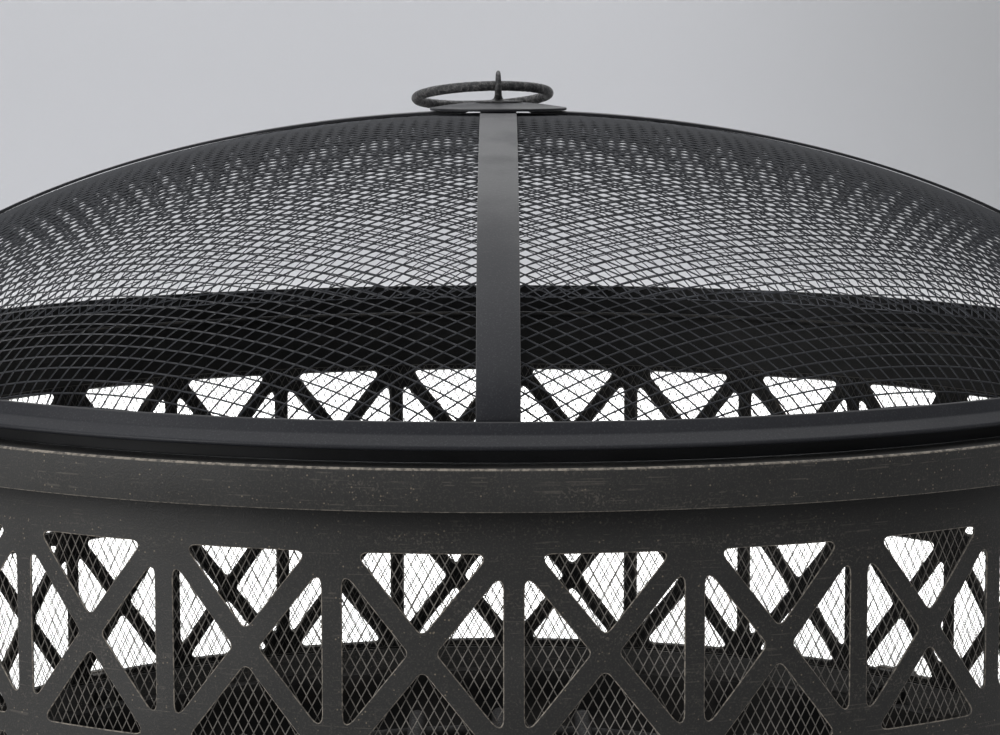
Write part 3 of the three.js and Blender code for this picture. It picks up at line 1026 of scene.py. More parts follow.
@dataclass
class Drum(SubAssembly):
    """The rim, the pierced wall, its mesh lining and seam, and the base ring."""

    overhang: float = 0.014
    sheet: float = 0.002
    flange: float = 0.0225
    rim_corner: float = 0.0014
    cell_degrees: float = 12.67
    cells: int = 28
    turn_degrees: float = 1.05
    lattice_top: float = 0.0394
    window_height: float = 0.0876
    bar: float = 0.0094
    brace: float = 0.0096
    rows: int = 2
    window_corner: float = 0.0032
    slices: int = 12
    edge: float = 0.00045
    lining_radius: float = 0.3576
    lining_across: float = 0.00495
    lining_up: float = 0.0092
    strand: float = 0.0005
    base_reach: float = 0.0214
    ring_steps: int = 288

    def __post_init__(self) -> None:
        """Works the drum's levels and angles out from the frame."""
        low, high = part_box("rim_ring")
        self.rim_radius, self.rim_foot, self.rim_top = high.x, low.z, high.z
        self.radius = self.rim_radius - self.overhang
        low, high = box_of(*nodes_like("drum_wall"))
        self.foot, self.head = low.z, high.z
        low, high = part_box("mesh_lining")
        self.lining_foot, self.lining_head = low.z, high.z
        self.cell = math.radians(self.cell_degrees)
        self.first_bar = math.radians(self.turn_degrees) - round(self.cells / 4) * self.cell
        self.seam_half = (TAU - self.cells * self.cell) / 2
        self.seam = self.first_bar - self.seam_half

    def wrapped(self, sheet: BMesh, radius: float, middle: float) -> BMesh:
        """Rolls a flat sheet in the XY plane round the drum, its middle at an angle.

        Args:
            sheet: the flat sheet, upright along Y.
            radius: that it is rolled to.
            middle: the angle of its middle.

        Returns:
            The rolled sheet.
        """

        def roll(point: Vector) -> Vector:
            """Where a point of the flat sheet comes.

            Args:
                point: on the flat sheet.

            Returns:
                Where it comes on the drum.
            """
            turn = middle + point.x / radius
            reach = radius + point.z
            return Vector((reach * math.sin(turn), -reach * math.cos(turn), point.y))

        return reshaped(sheet, roll)

    def windows(self, level: float) -> list[list[Point]]:
        """The corners of a crossed cell's four windows and their worn edges, round the middle of a row.

        Args:
            level: of the row's middle.

        Returns:
            Four outlines, the top and the bottom window first.
        """
        half_width = (self.radius * self.cell - self.bar) / 2 + self.edge
        half_height = self.window_height / 2 + self.edge
        slant = (self.brace / 2 - self.edge) * math.hypot(half_width, half_height)
        across, up = slant / half_height, slant / half_width
        top = [(0.0, up), (half_width - across, half_height), (across - half_width, half_height)]
        side = [(across, 0.0), (half_width, up - half_height), (half_width, half_height - up)]
        return [
            [(sign * x, level + sign * y) for x, y in corners]
            for corners in (top, side)
            for sign in (1, -1)
        ]

    def flat_sheet(self, width: float, pierced: bool) -> BMesh:
        """A flat stretch of wall, its windows cut and its curve-lines scored.

        Args:
            width: along the drum.
            pierced: whether it has windows.

        Returns:
            The sheet, without thickness.
        """
        sheet = bmesh.new()
        half = width / 2
        corners = [(-half, self.foot), (half, self.foot), (half, self.head), (-half, self.head)]
        sheet.faces.new([sheet.verts.new((x, y, 0)) for x, y in corners])
        if pierced:
            for row in range(self.rows):
                pitch = self.window_height + self.bar
                level = self.rim_top - self.lattice_top - self.window_height / 2 - row * pitch
                for window in self.windows(level):
                    verts = [sheet.verts.new((x, y, 0)) for x, y in window]
                    sheet.faces.new(verts)
                    round_corners(sheet, verts, self.window_corner, 5)
            self.pierce(sheet, width * (self.head - self.foot) / 2)
        for cut in range(1, self.slices):
            place = (-half + cut * width / self.slices, 0, 0)
            bmesh.ops.bisect_plane(
                sheet, geom=everything(sheet), dist=CUT, plane_co=place, plane_no=(1, 0, 0)
            )
        return sheet

    def pierce(self, sheet: BMesh, whole: float) -> None:
        """Opens a flat sheet's windows, and leaves a worn, turned-in edge round each.

        Args:
            sheet: the sheet's own face with the windows' faces over it.
            whole: an area between the windows' and the sheet's.
        """
        bmesh.ops.recalc_face_normals(sheet, faces=sheet.faces[:])
        blank = [f for f in sheet.faces if f.calc_area() > whole]
        bmesh.ops.delete(sheet, geom=blank, context="FACES_ONLY")
        holes = sheet.faces[:]
        inset = bmesh.ops.inset_individual(sheet, faces=holes, thickness=self.edge, use_even_offset=True)
        edges = inset["faces"]
        rub(sheet, edges, 1.0)
        for vert in {v for face in holes for v in face.verts}:
            vert.co.z = -0.7 * self.edge
        bmesh.ops.delete(sheet, geom=holes, context="FACES_ONLY")
        own = {e for face in edges for e in face.edges}
        kept = {e for e in own if len(e.link_faces) == 2 or min(v.co.z for v in e.verts) < 0}
        rest = [e for e in sheet.edges if e not in kept]
        bmesh.ops.triangle_fill(sheet, use_beauty=True, use_dissolve=False, edges=rest, normal=(0, 0, 1))

    def wall(self) -> BMesh:
        """The pierced wall: one cell turned round the drum, a plain seam strip, and its thickness.

        Returns:
            The wall.
        """
        flat = self.flat_sheet(self.radius * self.cell, True)
        cell = self.wrapped(flat, self.radius, self.first_bar + self.cell / 2)
        bmesh.ops.spin(
            cell, geom=everything(cell), cent=(0, 0, 0), axis=(0, 0, 1), dvec=(0, 0, 0),
            angle=self.cell * (self.cells - 1), steps=self.cells - 1, use_merge=False, use_duplicate=True,
        )
        strip = self.wrapped(self.flat_sheet(2 * self.radius * self.seam_half, False), self.radius, self.seam)
        shape = joined(cell, strip)
        bmesh.ops.remove_doubles(shape, verts=shape.verts[:], dist=STITCH)
        bmesh.ops.recalc_face_normals(shape, faces=shape.faces[:])
        faced(shape, lambda face: face.normal.dot(face.calc_center_median().xy.to_3d()))
        # Painted shade on the wall's inward faces, for the shadow inside the drum.
        return mark_inward_shading(thickened(shape, self.sheet))

    def rim(self) -> BMesh:
        """The rim: a flat flange that turns down into a lip, rubbed along its corner.

        Returns:
            The rim.
        """
        outer, foot, top = self.rim_radius, self.rim_foot, self.rim_top
        inner = outer - self.flange
        points = [
            (outer, foot), (outer, top), (inner, top),
            (inner, top - self.sheet), (outer - self.sheet, top - self.sheet), (outer - self.sheet, foot),
        ]
        outline = drawn(points, radius=self.edge, segments=2)
        corner = [v for v in outline.verts if v.co.x > outer - 2 * self.edge and v.co.z > top - 2 * self.edge]
        for vert in corner:
            vert.co = Vector((outer, 0, top))
        bmesh.ops.remove_doubles(outline, verts=outline.verts[:], dist=MERGE)
        fresh = [v for v in outline.verts if (v.co - Vector((outer, 0, top))).length < MERGE]
        bmesh.ops.bevel(
            outline, geom=fresh, offset=self.rim_corner, offset_type="OFFSET", segments=5,
            profile=0.5, affect="VERTICES", material=-1,
        )
        shape = spun(outline, self.ring_steps)
        sloping = [f for f in shape.faces if 0.3 < f.normal.z < 0.93]
        line = [f for f in sloping if f.calc_center_median().z > top - self.sheet]
        lip = [f for f in shape.faces if f.calc_center_median().z < foot + self.edge]
        rub(shape, line, 1.0)
        rub(shape, lip, 0.6)
        # Painted shade on the rim's inward faces, and below on the flange's top, which lies in the shadow of
        # the lid's lip.
        mark_inward_shading(shape)
        layer = shape.loops.layers.float[PAINTED_SHADING]
        for face in shape.faces:
            if face.normal.z > 0.97:
                for loop in face.loops:
                    loop[layer] = SHADING_DEPTH
        return shape

    def lining_panel(self, start: float, end: float) -> BMesh:
        """Expanded mesh inside the wall, from one angle to another.

        Args:
            start: the angle where it begins.
            end: the angle where it ends.

        Returns:
            The panel.
        """
        width = self.lining_radius * (end - start)
        height = self.lining_head - self.lining_foot
        across = width / round(width / self.lining_across)
        up = height / round(height / self.lining_up)
        sheet = diamonds(width, height, across, up)
        middle = (self.lining_head + self.lining_foot) / 2
        moved(sheet, Matrix.Translation((0, middle, 0)))
        rolled = self.wrapped(sheet, self.lining_radius, (start + end) / 2)
        # Painted shade on the lining's inward faces.
        return mark_inward_shading(strands(rolled, self.strand), SHADING_DEPTH)

    def base_ring(self) -> BMesh:
        """The angle ring inside the foot of the wall.

        Returns:
            The ring.
        """
        low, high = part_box("base_ring")
        outer = high.x
        inner = outer - self.base_reach
        points = [
            (outer, high.z), (outer, low.z), (inner, low.z),
            (inner, low.z + self.sheet), (outer - self.sheet, low.z + self.sheet),
            (outer - self.sheet, high.z),
        ]
        shape = spun(drawn(points, radius=self.edge, segments=2), self.ring_steps // 2)
        rub(shape, [f for f in shape.faces if f.calc_center_median().xy.length < inner + self.edge], 0.7)
        return shape

    def build(self) -> None:
        """Builds the rim, the wall, the lining's four panels and the base ring."""
        self.add("rim_ring_pressed", self.rim(), Body.PIT, Slot.BRONZE, ["rim_ring"])
        self.add("drum_wall_pierced", self.wall(), Body.PIT, Slot.BRONZE, nodes_like("drum_wall"), 22.0)
        bars = [self.first_bar + round(quarter * self.cells / 4) * self.cell for quarter in (1, 2, 3)]
        joints = [self.seam, *bars, self.seam + TAU]
        for i, (start, end) in enumerate(zip(joints, joints[1:])):
            panel = self.lining_panel(start, end)
            self.add(f"lining_panel_{i + 1}", panel, Body.PIT, Slot.LINING, ["mesh_lining"], 60.0)
        self.add("base_ring_rolled", self.base_ring(), Body.PIT, Slot.BRONZE, ["base_ring"])

    def dress(self) -> None:
        """Bronze on the sheet metal and thin paint on the lining."""
        self.paint(BRONZE)
        self.paint(LINING_PAINT, "lining")


@dataclass
class Seam(SubAssembly):
    """The plate that joins the wall's ends inside, and its rivets."""

    width: float = 0.030
    sheet: float = 0.002
    corner: float = 0.004
    head: float = 0.0046
    head_height: float = 0.0022
    shank: float = 0.0024
    tail: float = 0.0041
    sides: int = 32
    head_steps: int = 6

    def build(self) -> None:
        """Builds the plate and one rivet for each rivet node."""
        low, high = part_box("seam_plate")
        middle = (low + high) / 2
        turn = Matrix.Rotation(math.atan2(middle.x, -middle.y), 4, "Z")
        reach = middle.xy.length
        half = self.width / 2
        points = [(-half, low.z), (half, low.z), (half, high.z), (-half, high.z)]
        plate = bmesh.new()
        corners = [plate.verts.new((x, 0, z)) for x, z in points]
        plate.faces.new(corners)
        round_corners(plate, corners, self.corner, 5)
        thickened(plate, self.sheet)
        rub(plate, softened(plate, 0.0003, 2), 0.8)
        moved(plate, Matrix.Translation((0, -sum(v.co.y for v in plate.verts) / len(plate.verts), 0)))
        moved(plate, turn @ Matrix.Translation((0, -reach, 0)))
        self.add("seam_plate_pressed", plate, Body.PIT, Slot.STEEL, ["seam_plate"])
        for node in nodes_like("seam_rivet"):
            self.rivet(node)

    def rivet(self, node: str) -> None:
        """Builds a round-headed rivet through the wall.

        Args:
            node: the rivet's CAD node.
        """
        low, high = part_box(node)
        middle = (low + high) / 2
        outer = Vector((low.x, middle.y)).length
        inner = Vector((high.x, middle.y)).length
        seat, tail_seat = outer - self.head_height, inner + self.head_height
        dome = [
            (self.head * math.cos(turn), seat + self.head_height * math.sin(turn))
            for turn in (math.pi / 2 * i / self.head_steps for i in range(self.head_steps + 1))
        ]
        points = [(0.0, inner), (self.tail, inner), (self.tail, tail_seat), (self.shank, tail_seat)]
        points += [(self.shank, seat), *dome[:-1], (0.0, outer)]
        shape = spun(drawn(points, closed=False), self.sides)
        rub(shape, [f for f in shape.faces if f.calc_center_median().z > seat + 0.7 * self.head_height], 0.6)
        aim = Matrix.Rotation(math.atan2(middle.x, -middle.y), 4, "Z") @ Matrix.Rotation(math.pi / 2, 4, "X")
        moved(shape, Matrix.Translation((0, 0, middle.z)) @ aim)
        self.add(f"{node}_headed", shape, Body.PIT, Slot.STEEL, [node])

    def dress(self) -> None:
        """Blacked steel throughout."""
        self.paint(STEEL)


@dataclass
class Bowl(SubAssembly):
    """The pressed fire bowl that hangs by its flange on the base ring."""

    sheet: float = 0.002
    flange: float = 0.016
    floor_radius: float = 0.160
    curve_steps: int = 22
    flange_bend: float = 0.004
    steps: int = 144

    def build(self) -> None:
        """Builds the bowl from its inner outline."""
        low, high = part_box("fire_bowl")
        outer = high.x
        mouth = outer - self.flange
        top, floor = high.z, low.z + self.sheet
        points: list[Point] = [(outer, top), (mouth + self.flange_bend, top)]
        for i in range(1, self.curve_steps + 1):
            turn = math.pi / 2 * i / self.curve_steps
            reach = (mouth - self.floor_radius) * math.cos(turn)
            points.append((self.floor_radius + reach, top - (top - floor) * math.sin(turn)))
        points += [(0.75 * self.floor_radius, floor), (0.4 * self.floor_radius, floor), (0.0, floor)]
        shape = spun(drawn(points, closed=False), self.steps)
        faced(shape, lambda f: f.normal.z if f.calc_center_median().xy.length < self.floor_radius else 0.0)
        thickened(shape, self.sheet)
        softened(shape, 0.0004, 2, 60.0)
        self.add("fire_bowl_pressed", shape, Body.PIT, Slot.BOWL, ["fire_bowl"])

    def dress(self) -> None:
        """Sooty heat paint."""
        self.paint(BOWL_ENAMEL)


# ---- The legs ----------------------------------------------------------------------------------


@dataclass
class Legs(SubAssembly):
    """Four flat-bar legs with their pads, bolts and nuts."""

    drum_radius: float = 0.361
    gap: float = 0.0003
    width: float = 0.036
    bar: float = 0.005
    splay: float = 0.036
    foot: float = 0.026
    ankle: float = 0.0125
    tab: float = 0.023
    corner: float = 0.007
    bend_steps: int = 26
    pad_margin: float = 0.002
    bolt_spacing: float = 0.018
    bolt_radius: float = 0.003
    head_radius: float = 0.0058
    head_height: float = 0.004
    nut_radius: float = 0.0056
    nut_height: float = 0.0042
    tail: float = 0.0015

    def path(self, sole: float, top: float) -> list[Point]:
        """A leg's outer face from its tab down to the tip of its foot.

        Args:
            sole: the level of the foot's underside.
            top: the level of the tab's top.

        Returns:
            Distances from the axis and heights.
        """
        tab = self.drum_radius + self.gap + self.bar
        foot_of_wall = top - self.tab
        ankle = tab + self.splay
        starts = [
            Vector((tab, foot_of_wall)), Vector((tab, (2 * foot_of_wall + sole) / 3)),
            Vector((ankle, (foot_of_wall + 2 * sole) / 3)), Vector((ankle, sole + self.ankle)),
        ]
        points = [(tab, top)]
        for i in range(self.bend_steps + 1):
            share = i / self.bend_steps
            weights = [(1 - share) ** 3, 3 * share * (1 - share) ** 2, 3 * share**2 * (1 - share), share**3]
            spot = sum((w * s for w, s in zip(weights, starts)), Vector((0, 0)))
            points.append((spot.x, spot.y))
        points.append((ankle + 0.3 * self.bar, sole + 1.45 * self.bar))
        points.append((ankle + self.bar, sole + self.bar))
        points.append((ankle + self.foot, sole + self.bar))
        return points

    def leg(self, sole: float, top: float) -> BMesh:
        """A leg that stands towards the front.

        Args:
            sole: the level of the foot's underside.
            top: the level of the tab's top.

        Returns:
            The leg.
        """
        shape = faced(drawn_out(self.path(sole, top), self.width), lambda face: face.normal.x)
        corners = [v for v in shape.verts if len(v.link_edges) == 2]
        round_corners(shape, corners, self.corner, 6)
        thickened(shape, self.bar)
        rub(shape, softened(shape, 0.0009, 3, 50.0), 0.55)
        return moved(shape, Matrix.Rotation(-math.pi / 2, 4, "Z"))

    def pad(self, low: float, high: float, tip: float, heel: float) -> BMesh:
        """A pad under a foot, its top drawn in a little.

        Args:
            low: the level of its underside.
            high: the level of its top.
            tip: the distance of the foot's tip.
            heel: the distance where the foot is flat.

        Returns:
            The pad, towards the front.
        """
        shape = bmesh.new()
        length = tip - heel + 2 * self.bar + self.pad_margin
        size = Matrix.Diagonal((self.width + 2 * self.pad_margin, length, high - low, 1))
        bmesh.ops.create_cube(shape, size=1.0, matrix=size)
        uprights = [e for e in shape.edges if abs(e.verts[0].co.z - e.verts[1].co.z) > (high - low) / 2]
        bmesh.ops.bevel(
            shape, geom=uprights, offset=0.004, offset_type="OFFSET", segments=5,
            profile=0.5, affect="EDGES", material=-1,
        )
        softened(shape, 0.0007, 2, 50.0)
        place = (0, -(tip + self.pad_margin - length / 2), (low + high) / 2)
        return moved(shape, Matrix.Translation(place))

    def bolt(self, seat: float, length: float) -> BMesh:
        """A bolt whose head is towards the front, its seat at a distance from the axis.

        Args:
            seat: the distance of the head's underside.
            length: of the shank.

        Returns:
            The bolt.
        """
        head = bmesh.new()
        depth = self.head_height
        bmesh.ops.create_cone(
            head, cap_ends=True, segments=HEXAGON, radius1=self.head_radius, radius2=self.head_radius,
            depth=depth,
        )
        rub(head, softened(head, 0.0005, 2, 45.0), 0.8)
        moved(head, Matrix.Translation((0, 0, seat + depth / 2)))
        shank = round_rod(self.bolt_radius, length, 24)
        moved(shank, Matrix.Translation((0, 0, seat - length / 2 + depth / 4)))
        return moved(joined(head, shank), Matrix.Rotation(math.pi / 2, 4, "X"))

    def nut(self, seat: float) -> BMesh:
        """A nut towards the front, its bore open, its seat at a distance from the axis.

        Args:
            seat: the distance of the nut's outer face.

        Returns:
            The nut.
        """
        shape = hex_nut(self.nut_radius, self.bolt_radius + self.gap, self.nut_height)
        place = Matrix.Translation((0, 0, seat - self.nut_height))
        return moved(shape, Matrix.Rotation(math.pi / 2, 4, "X") @ place)

    def build(self) -> None:
        """Builds each leg, its pad, and its pairs of bolts and nuts."""
        for node in nodes_like("foot_pad"):
            number = node.rsplit("_", 1)[1]
            pad_low, pad_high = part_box(node)
            middle = (pad_low + pad_high) / 2
            turn = Matrix.Rotation(math.atan2(middle.x, -middle.y), 4, "Z")
            leg_low, leg_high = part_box(f"leg_{number}")
            path = self.path(leg_low.z, leg_high.z)
            leg = moved(self.leg(leg_low.z, leg_high.z), turn)
            self.add(f"leg_{number}_bent", leg, Body.PIT, Slot.BRONZE, [f"leg_{number}"])
            pad = moved(self.pad(pad_low.z, pad_high.z, path[-1][0], path[-2][0]), turn)
            self.add(f"{node}_moulded", pad, Body.PIT, Slot.PAD, [node])
            self.fasteners(number, turn)

    def fasteners(self, number: str, turn: Matrix) -> None:
        """Builds a leg's two bolts and two nuts.

        Args:
            number: the leg's number.
            turn: from the front to the leg's place.
        """
        seat = self.drum_radius + self.bar + 2 * self.gap
        for letter, side in (("a", -1), ("b", 1)):
            bolt_node, nut_node = f"leg_bolt_{number}{letter}", f"leg_nut_{number}{letter}"
            low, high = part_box(bolt_node)
            nut_low, nut_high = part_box(nut_node)
            middle = turn.inverted() @ ((nut_low + nut_high) / 2)
            nut_seat = -middle.y + self.nut_height / 2
            length = seat - nut_seat + self.nut_height + self.tail
            place = Matrix.Translation((side * self.bolt_spacing / 2, 0, (low.z + high.z) / 2))
            bolt = moved(self.bolt(seat, length), turn @ place)
            nut = moved(self.nut(nut_seat), turn @ place)
            self.add(f"{bolt_node}_turned", bolt, Body.PIT, Slot.STEEL, [bolt_node])
            self.add(f"{nut_node}_turned", nut, Body.PIT, Slot.STEEL, [nut_node])

    def dress(self) -> None:
        """Bronze bars, plastic pads and blacked fasteners."""
        self.paint(BRONZE, "leg_")
        self.paint(STEEL, "leg_bolt")
        self.paint(STEEL, "leg_nut")
        self.paint(PAD_PLASTIC, "foot_pad")


# ---- The log grate -----------------------------------------------------------------------------


@dataclass
class LogGrate(SubAssembly):
    """The loose grate in the bowl: a ring, bars welded over it, and feet."""

    rod: float = 0.010
    steps: int = 120
    weld: float = 0.0042

    def bead(self, place: Vector) -> BMesh:
        """A bead of weld, uneven and flattened.

        Args:
            place: the bead's middle.

        Returns:
            The bead.
        """
        shape = bmesh.new()
        bmesh.ops.create_icosphere(shape, subdivisions=2, radius=self.weld)

        def slump(point: Vector) -> Vector:
            """Where a point of the bead comes."""
            swell = 1 + 0.22 * noise.noise((point + place) * 260)
            return Vector((point.x * swell, point.y * 1.5 * swell, point.z * 0.75)) + place

        return reshaped(shape, slump)

    def build(self) -> None:
        """Builds the ring, the bars with their beads, and the feet."""
        low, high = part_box("log_grate_ring")
        radius, level = high.x - self.rod / 2, (low.z + high.z) / 2
        ring = moved(round_ring(radius, self.rod, self.steps), Matrix.Translation((0, 0, level)))
        self.add("log_grate_ring_rolled", ring, Body.GRATE, Slot.GRATE, ["log_grate_ring"])
        for node in nodes_like("log_grate_bar"):
            low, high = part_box(node)
            middle = (low + high) / 2
            bar = round_rod(self.rod / 2, high.y - low.y, rounding=0.0012)
            moved(bar, Matrix.Translation(middle) @ Matrix.Rotation(math.pi / 2, 4, "X"))
            reach = math.sqrt(radius**2 - middle.x**2)
            beads = [self.bead(Vector((middle.x, side * reach, low.z))) for side in (-1, 1)]
            self.add(f"{node}_welded", joined(bar, *beads), Body.GRATE, Slot.GRATE, [node])
        for node in nodes_like("log_grate_foot"):
            low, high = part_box(node)
            foot = round_rod(self.rod / 2, high.z - low.z, rounding=0.001)
            moved(foot, Matrix.Translation((low + high) / 2))
            top = Vector(((low.x + high.x) / 2, (low.y + high.y) / 2, high.z))
            self.add(f"{node}_welded", joined(foot, self.bead(top)), Body.GRATE, Slot.GRATE, [node])

    def dress(self) -> None:
        """Blackened iron throughout."""
        self.paint(GRATE_IRON)


# ---- The lid -----------------------------------------------------------------------------------


@dataclass
class Dome:
    """The dome's outline, shared by its mesh and its straps."""

    fullness: float = 0.64
    clearance: float = 0.0032
    ring_sheet: float = 0.0023
    sheet: float = 0.0012
    tuck: float = 0.007
    table_steps: int = 600

    def __post_init__(self) -> None:
        """Takes the radius and the rise from the frame, and measures along the outline."""
        low, high = box_of(*nodes_like("dome_mesh"))
        self.radius = high.x
        self.apex = high.z
        self.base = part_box("lid_ring")[1].z
        self.lengths = [0.0]
        self.spots: list[Point] = [(0.0, self.apex)]
        for i in range(1, self.table_steps + 1):
            reach = self.radius * math.sin(math.pi / 2 * i / self.table_steps)
            self.note(reach, self.height(reach))
        self.note(self.radius, self.base - self.tuck)

    def note(self, reach: float, level: float) -> None:
        """Adds a spot to the table of lengths along the outline.

        Args:
            reach: its distance from the axis.
            level: its height.
        """
        last = self.spots[-1]
        self.lengths.append(self.lengths[-1] + math.hypot(reach - last[0], level - last[1]))
        self.spots.append((reach, level))

    def height(self, reach: float) -> float:
        """The level of the mesh's outer face at a distance from the axis."""
        share = max(0.0, 1 - (reach / self.radius) ** 2)
        return self.base + (self.apex - self.base) * share**self.fullness

    def along(self, length: float) -> Point:
        """The distance and the level at a length along the outline from the top.

        Args:
            length: from the top, along the outline.

        Returns:
            The distance and the level.
        """
        i = min(max(bisect_right(self.lengths, length), 1), len(self.lengths) - 1)
        span = self.lengths[i] - self.lengths[i - 1]
        share = (length - self.lengths[i - 1]) / span
        (r0, z0), (r1, z1) = self.spots[i - 1], self.spots[i]
        return r0 + (r1 - r0) * share, z0 + (z1 - z0) * share


@dataclass
class MeshDome(SubAssembly):
    """The spark mesh: expanded metal drawn into a dome, in four quarters."""

    dome: Dome = field(default_factory=Dome)
    long_way: float = 0.0127
    short_way: float = 0.0074
    strand: float = 0.00085
    hole: float = 0.006
    seam: float = 0.00015
    round_cuts: int = 20

    def quarter(self, sign_x: int, sign_y: int) -> BMesh:
        """One quarter of the dome, on the side that the signs give.

        Args:
            sign_x: 1 to the right, -1 to the left.
            sign_y: 1 at the rear, -1 at the front.

        Returns:
            The quarter.
        """
        reach = self.dome.lengths[-1]
        sheet = diamonds(2 * reach + self.long_way, 2 * reach + self.short_way, self.long_way, self.short_way)
        for normal in ((-sign_x, 0, 0), (0, -sign_y, 0)):
            place = Vector(normal) * -self.seam
            bmesh.ops.bisect_plane(
                sheet, geom=everything(sheet), dist=CUT, plane_co=place, plane_no=normal, clear_outer=True
            )
        for i in range(self.round_cuts):
            turn = math.pi / 2 * (i + 0.5) / self.round_cuts
            normal = Vector((sign_x * math.cos(turn), sign_y * math.sin(turn), 0))
            bmesh.ops.bisect_plane(
                sheet, geom=everything(sheet), dist=CUT, plane_co=normal * reach, plane_no=normal,
                clear_outer=True,
            )
        middle = [f for f in sheet.faces if f.calc_center_median().length < self.hole]
        bmesh.ops.delete(sheet, geom=middle, context="FACES")

        def drape(point: Vector) -> Vector:
            """Where a point of the flat sheet comes.

            Args:
                point: on the flat sheet.

            Returns:
                Where it comes on the dome.
            """
            flat = point.xy
            distance, level = self.dome.along(min(flat.length, reach))
            across = flat.normalized() * (distance - self.dome.sheet / 2)
            return Vector((across.x, across.y, level - self.dome.sheet / 2))

        # Marks the strands' inward faces for painted light, which the dome's finish makes pale and bluish.
        return mark_inward_shading(strands(reshaped(sheet, drape), self.strand), SHADING_DEPTH)

    def build(self) -> None:
        """Builds the four quarters."""
        sides = {"right": 1, "left": -1, "rear": 1, "front": -1}
        for node in nodes_like("dome_mesh"):
            across, along = node.removeprefix("dome_mesh_").split("_")
            shape = self.quarter(sides[across], sides[along])
            self.add(f"{node}_expanded", shape, Body.LID, Slot.DOME, [node], 60.0)

    def dress(self) -> None:
        """Thin satin paint."""
        self.paint(DOME_PAINT)


@dataclass
class LidFrame(SubAssembly):
    """The lid's ring, and the two straps that cross over the dome."""

    dome: Dome = field(default_factory=Dome)
    skirt_height: float = 0.006
    skirt_sheet: float = 0.0025
    lip_reach: float = 0.0075
    lip_height: float = 0.0044
    lip_fall: float = 0.0024
    flare: float = 0.0022
    band_step: float = 0.0006
    gap: float = 0.0003
    rest: float = 0.00002
    strap_width: float = 0.0195
    strap_sheet: float = 0.0015
    strap_tuck: float = 0.006
    flat_half: float = 0.013
    ramp: float = 0.006
    ramp_steps: int = 6
    strap_steps: int = 96
    ring_steps: int = 288

    def ring(self) -> BMesh:
        """The rolled ring: a skirt, a rounded lip and a band that leans in.

        Returns:
            The ring.
        """
        low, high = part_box("lid_ring")
        top, foot = high.z, low.z
        inner = self.dome.radius + self.dome.clearance
        outer = inner + self.dome.ring_sheet
        skirt = inner + self.skirt_sheet
        lip = skirt + self.lip_reach
        lip_foot = foot + self.skirt_height
        lip_top = lip_foot + self.lip_height
        swell = (outer + self.flare, lip_top + self.band_step + self.lip_fall / 2)
        points = [
            (inner, foot), (skirt, foot), (skirt, lip_foot), (lip, lip_foot), (lip, lip_top - self.lip_fall),
            swell, (outer, top), (inner, top),
        ]
        outline = bmesh.new()
        verts = [outline.verts.new((x, 0, z)) for x, z in points]
        outline.faces.new(verts)
        radii = [0.0005, 0.0005, 0.0006, 0.0013, 0.0016, 0.0022, 0.0007, 0.0005]
        for vert, radius in zip(verts, radii):
            round_corners(outline, [vert], radius, 4)
        bmesh.ops.delete(outline, geom=outline.faces[:], context="FACES_ONLY")
        shape = spun(outline, self.ring_steps)
        worn = [f for f in shape.faces if f.calc_center_median().z > top - 0.0006]
        rub(shape, worn, 0.5)
        # Painted shade on the ring's inward faces and on the skirt under the lip.
        return self.shaded(mark_inward_shading(shape), lip_foot + 0.0002)

    def shaded(self, shape: BMesh, level: float) -> BMesh:
        """Marks painted shade on the faces below a level, the skirt that lies in the shadow of the lip.

        Args:
            shape: a shape whose inward faces are marked for painted shading.
            level: the painted shade stays below it.

        Returns:
            The same shape.
        """
        layer = shape.loops.layers.float[PAINTED_SHADING]
        for face in shape.faces:
            if face.calc_center_median().z < level:
                for loop in face.loops:
                    loop[layer] = SHADING_DEPTH
        return shape

    def strap(self, lift: float) -> BMesh:
        """A strap along X over the dome, its middle raised by a lift.

        Args:
            lift: of the middle, for what lies beneath.

        Returns:
            The strap.
        """
        top = self.dome.apex + self.gap + lift
        shoulder = self.flat_half + self.ramp

        def level(reach: float) -> Point:
            """Where the strap's underside lies over the mesh.

            Args:
                reach: a distance from the axis.

            Returns:
                The distance and the height of the strap's underside.
            """
            lower = self.dome.height(reach + 1e-5)
            slope = (lower - self.dome.height(reach)) / 1e-5
            size = math.hypot(1.0, slope)
            return reach - slope / size * self.rest, self.dome.height(reach) + self.rest / size

        side: list[Point] = [(0.0, top), (0.5 * self.flat_half, top), (self.flat_half, top)]
        shoulder_level = level(shoulder)[1]
        for i in range(1, self.ramp_steps):
            share = i / self.ramp_steps
            ease = share * share * (3 - 2 * share)
            side.append((self.flat_half + self.ramp * share, top + (shoulder_level - top) * ease))
        start = math.asin(shoulder / self.dome.radius)
        for i in range(self.strap_steps + 1):
            turn = start + (math.pi / 2 - start) * i / self.strap_steps
            reach = min(self.dome.radius * math.sin(turn), self.dome.radius - 1.1e-5)
            side.append(level(reach))
        side.append((self.dome.radius + self.rest, self.dome.base - self.strap_tuck))
        points = [(-x, z) for x, z in reversed(side[1:])] + side
        shape = faced(drawn_out(points, self.strap_width), lambda face: -face.normal.z * face.calc_area())
        thickened(shape, self.strap_sheet)
        rub(shape, softened(shape, 0.0003, 2, 50.0), 0.8)
        return shape

    def build(self) -> None:
        """Builds the ring and both straps."""
        self.add("lid_ring_rolled", self.ring(), Body.LID, Slot.LID, ["lid_ring"])
        lower = moved(self.strap(0.0), Matrix.Rotation(math.pi / 2, 4, "Z"))
        self.add("strap_front_rear_bent", lower, Body.LID, Slot.LID, ["strap_front_rear"])
        upper = self.strap(self.gap + self.strap_sheet)
        self.add("strap_left_right_bent", upper, Body.LID, Slot.LID, ["strap_left_right"])

    def dress(self) -> None:
        """Satin heat paint."""
        self.paint(LID_PAINT)


